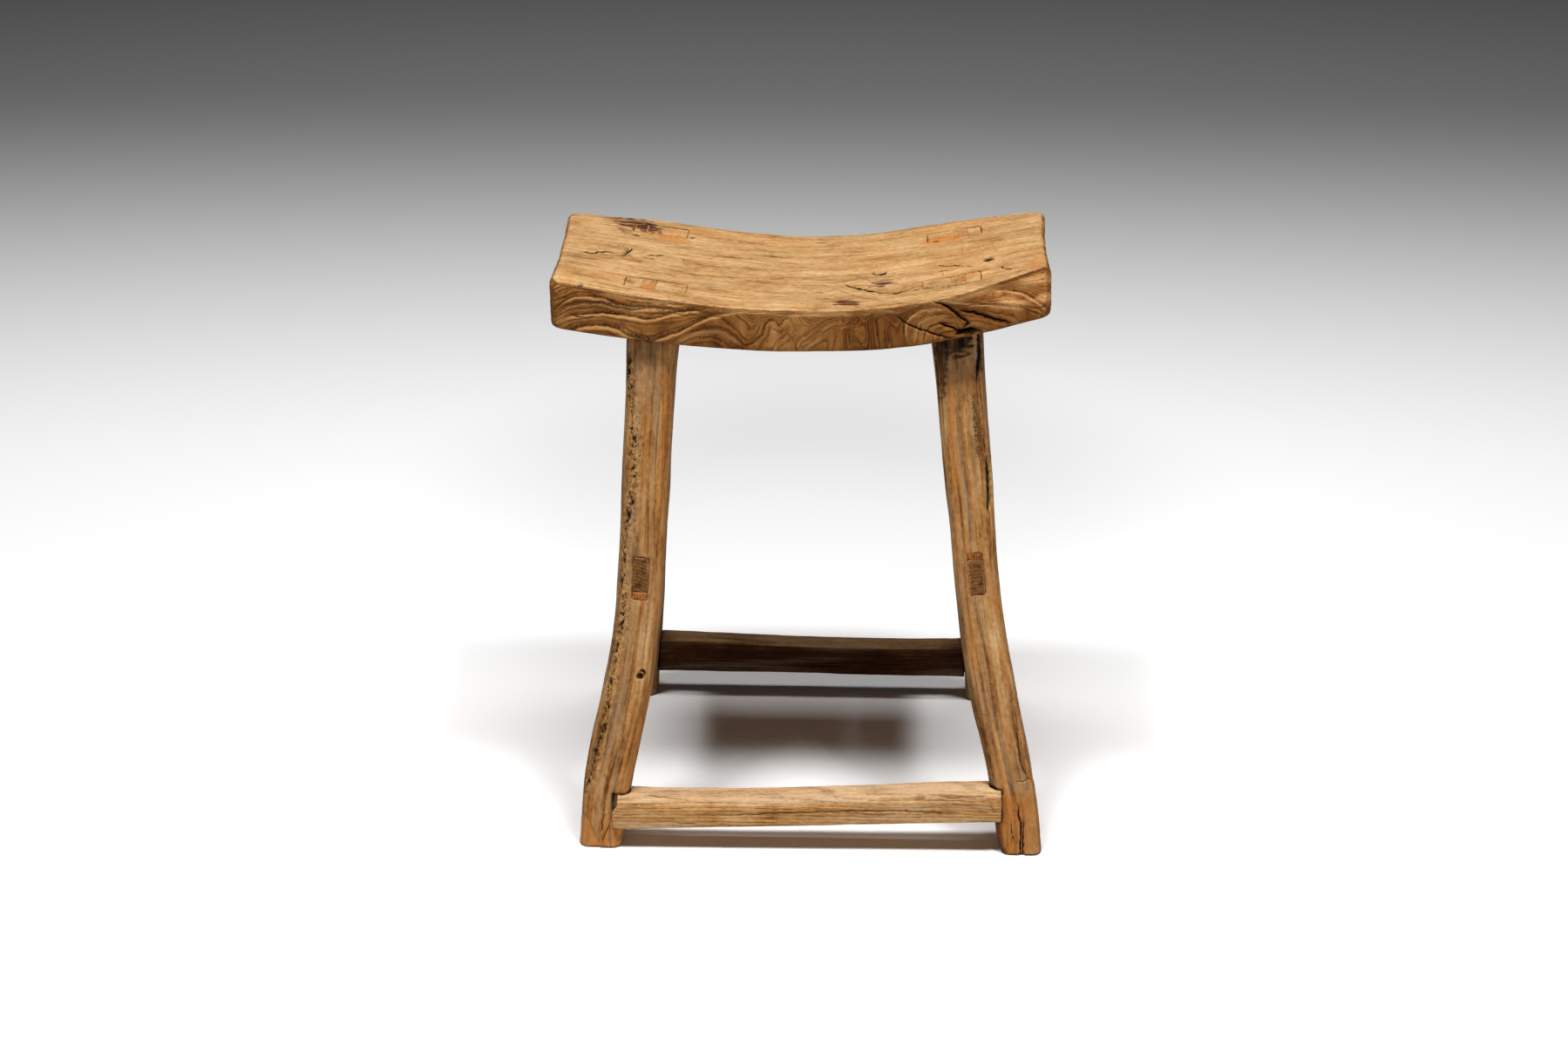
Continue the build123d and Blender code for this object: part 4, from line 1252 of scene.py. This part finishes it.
# %% The front rail: cracks, a knot, and how far its ends are worn back at each share of their height
FRONT_RAIL_CRACKS = (
    (((736, 912), (752, 913), (767, 915), (794, 919)), 0.9, 0.8),
    (((790, 935), (855, 935), (909, 933), (967, 931), (1025, 930), (1082, 933), (1132, 935)), 1.1, 1.2),
    (((771, 944), (786, 945), (802, 946)), 0.9, 0.8),
    (((711, 935), (722, 935), (732, 935)), 0.9, 0.8),
    (((712, 925), (728, 926), (748, 929)), 0.6, 0.5),
    (((1067, 912), (1094, 915), (1118, 914), (1140, 912)), 1.0, 1.0),
    (((1136, 923), (1140, 930), (1144, 933)), 0.8, 0.8),
    (((1004, 916), (1030, 917), (1052, 915)), 0.5, 0.4),
    (((820, 926), (860, 926), (905, 924)), 0.4, 0.3),
    (((860, 943), (905, 942), (950, 940)), 0.4, 0.3),
    (((1092, 922), (1110, 925), (1128, 928)), 0.6, 0.5),
)
RAIL_KNOT = ((1055, 915), 7, 3.5, 0, 0.3)
LEFT_END = ((0.0, 5.0), (0.3, 3.0), (0.5, 5.0), (0.65, 9.0), (0.8, 13.0), (1.0, 16.0))
RIGHT_END = ((0.0, 3.0), (0.3, 0.8), (0.5, 2.5), (0.65, 6.0), (0.8, 9.5), (1.0, 12.0))
END_ZONE = 12


def round_end(wood, profile, way):
    """Round a rail's blunt end, way -1 left or 1 right, worn back as the profile says."""
    x, _, z = wood.places.T
    from_end = (way * x).max() - way * x
    at_end = z[from_end < END_ZONE]
    share = (z - at_end.min()) / (at_end.max() - at_end.min())
    worn_back = np.interp(share, *zip(*profile))
    left_over = np.clip(1 - from_end / (2 * worn_back), 0, 1)
    wood.places[:, 0] -= way * worn_back * left_over ** 2


rail = Blank("stretcher_front", FINE_SQUARE)
weather_rail(rail, 600, rubbed=0.9)
cut_cracks(rail, FRONT_RAIL_CRACKS)
round_end(rail, LEFT_END, -1)
round_end(rail, RIGHT_END, 1)
joint_shade_and_dirt(rail, "leg_front_left", "leg_front_right")
rail.mark(dirt_and_shade=0.4 * patch(rail, *RAIL_KNOT))
rail.finish("stretcher_elm", rail_wood)

# %% [markdown]
# The rear rail is a darker board, and its colours are darkened further as painted shade, for it stands in
# the seat's shadow.

# %% The rear rail
rail = Blank("stretcher_rear", COARSE_SQUARE)
weather_rail(rail, 650, rubbed=0.15)
joint_shade_and_dirt(rail, "leg_rear_left", "leg_rear_right")
rail.mark(honey=0.4 * rail.faces(UP, 0.3, 0.8))
rail.finish("stretcher_elm", dark_shaded_rail_wood)

# %% [markdown]
# ## The side rails
# The two side rails join front and rear legs at half height. Their tenons go right through the legs, and
# the end grain that shows there has drunk oil and dirt until it is red-brown.

# %% The side rails
for name, seed in (("stretcher_left", 700), ("stretcher_right", 750)):
    rail = Blank(name, RAIL_SQUARE)
    weather_rail(rail, seed, along_axis=1, rubbed=0.3)
    end_grain = ramp(np.abs(rail.facing[:, 1]), 0.6, 0.9)
    rail.mark(dirt_and_shade=0.60 * end_grain, red=0.75 * end_grain, grey=-0.6 * end_grain)
    rail.finish("stretcher_elm", rail_wood)

# %% [markdown]
# ## The wedges
# A wedge of harder, redder wood splits each tenon and locks it. All that shows of one is its end grain,
# rubbed flush with the wood round it.

# %% Wedges
for name in sorted(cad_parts):
    if "wedge" in name:
        wedge = Blank(name, WEDGE_SQUARE)
        x, y, z = wedge.places.T
        in_seat = name.startswith("seat")
        wedge.mark(grain=np.column_stack((z, x, y) if in_seat else (y, x, z)),
                   rings=(x + y) / LEG_LAYER,
                   honey=np.full(len(x), 0.8 if in_seat else 0.0),
                   dirt_and_shade=0.25 * ramp(hills(wedge.places, (4, 4, 4), 800), 0.0, 0.5))
        stain_top(wedge, wedge.faces(UP, 0.6, 0.9) * in_seat)
        wedge.finish("wedge_wood", wedge_wood)

# %% [markdown]
# ## The studio
# The stool stands on pale paper that runs back out of the light, so the picture grows grey towards its top;
# that fall-off is painted into the paper's colour for the camera.

# %% The floor
FLOOR_WIDE = 16.0
FLOOR_NEAR = -4.0
FLOOR_FAR = 12.0

floor_corners = [(-FLOOR_WIDE / 2, FLOOR_NEAR, 0), (FLOOR_WIDE / 2, FLOOR_NEAR, 0),
                 (FLOOR_WIDE / 2, FLOOR_FAR, 0), (-FLOOR_WIDE / 2, FLOOR_FAR, 0)]
floor_mesh = bpy.data.meshes.new("floor")
floor_mesh.from_pydata(floor_corners, [], [(0, 1, 2, 3)])
floor = bpy.data.objects.new("floor", floor_mesh)
bpy.context.scene.collection.objects.link(floor)
print("the floor is", FLOOR_WIDE, "by", FLOOR_FAR - FLOOR_NEAR, "m")

# %% [markdown]
# How bright the paper is in the picture is set by its colour for the camera alone. That colour holds a
# painted pool of light round the stool and painted shade behind it, where the seat takes some of the light.
# For the wood it stays an ordinary grey floor, which throws a soft light up under the seat.

# %% The paper
PAPER = 0.55
PAPER_NEAR = 1.01
PAPER_FAR = 0.34
FADE = (0.65, 3.1)
PAPER_PAINTED_LIGHT = 1.18
PAINTED_LIGHT_REACH = (0.4, 1.0)
PAPER_SHADED = 0.79
SHADED_BEHIND = 0.62
SHADED_REACH = (0.2, 0.62)
PAPER_ROUGHNESS = 0.9

paper = Finish("floor_paper")
place = paper.tree.nodes.new("ShaderNodeTexCoord")
split = paper.tree.nodes.new("ShaderNodeSeparateXYZ")
paper.put(split.inputs[0], place.outputs["Object"])
light_path = paper.tree.nodes.new("ShaderNodeLightPath")


def paper_distance(along_y):
    """How far a place on the paper is from a place on its middle line."""
    side = split.outputs["X"]
    ahead = paper.add(split.outputs["Y"], -along_y)
    return paper.sum("SQRT", paper.add(paper.times(side, side), paper.times(ahead, ahead)))


# Painted fall-off towards the back, a painted pool of light round the stool and painted shade behind it.
bright = paper.ramp(split.outputs["Y"], *FADE, PAPER_NEAR, PAPER_FAR)
bright = paper.times(bright, paper.ramp(paper_distance(0), *PAINTED_LIGHT_REACH, PAPER_PAINTED_LIGHT, 1.0))
bright = paper.times(bright, paper.ramp(paper_distance(SHADED_BEHIND), *SHADED_REACH, PAPER_SHADED, 1.0))
paper.put(paper.shader.inputs["Base Color"],
          paper.mix(light_path.outputs["Is Camera Ray"], (PAPER, PAPER, PAPER, 1), bright))
paper.shader.inputs["Roughness"].default_value = PAPER_ROUGHNESS
paper.shader.inputs["Specular IOR Level"].default_value = 0.0
floor_mesh.materials.append(paper.material)
print("the paper has", len(paper.tree.nodes), "nodes")

# %% [markdown]
# Three soft lamps hang high in front of the stool, at its left, its middle and its right, and a wide one
# hangs over its back. Each leg therefore gets a few faint shadows, and only the ground under the seat,
# which no high lamp reaches, is really dark. A weak lamp near the ground lights the fronts of the legs. The
# lamps are kept at a level at which a colour looks as it was mixed.

# %% Lamps: place and size in metres, and power in watts
LAMPS = (("left", (-0.98, -0.98, 4.0), (0.66, 0.5), 62), ("right", (1.10, -0.98, 4.0), (0.66, 0.5), 62),
         ("middle", (0.0, -1.0, 4.0), (1.6, 0.5), 36), ("behind", (0.0, 0.16, 4.0), (1.6, 0.5), 43),
         ("low_front", (0.2, -3.4, 0.3), (1.6, 0.5), 15))
LAMP_AIM = Vector((0, 0, 0.3))
WORLD_LIGHT = 0.018

for name, place, (lamp_wide, lamp_deep), power in LAMPS:
    light = bpy.data.lights.new(name, "AREA")
    light.shape = "RECTANGLE"
    light.size = lamp_wide
    light.size_y = lamp_deep
    light.energy = power
    lamp = bpy.data.objects.new(name, light)
    lamp.location = place
    lamp.rotation_euler = (LAMP_AIM - Vector(place)).to_track_quat("-Z", "Y").to_euler()
    bpy.context.scene.collection.objects.link(lamp)
world = bpy.data.worlds.new("room")
world.use_nodes = True
world.node_tree.nodes["Background"].inputs["Strength"].default_value = WORLD_LIGHT
world.node_tree.nodes["Background"].inputs["Color"].default_value = (1, 1, 1, 1)
bpy.context.scene.world = world
bpy.context.scene.view_settings.view_transform = "Standard"
print(len(LAMPS), "lamps,", sum(power for *_, power in LAMPS), "W")

# %% [markdown]
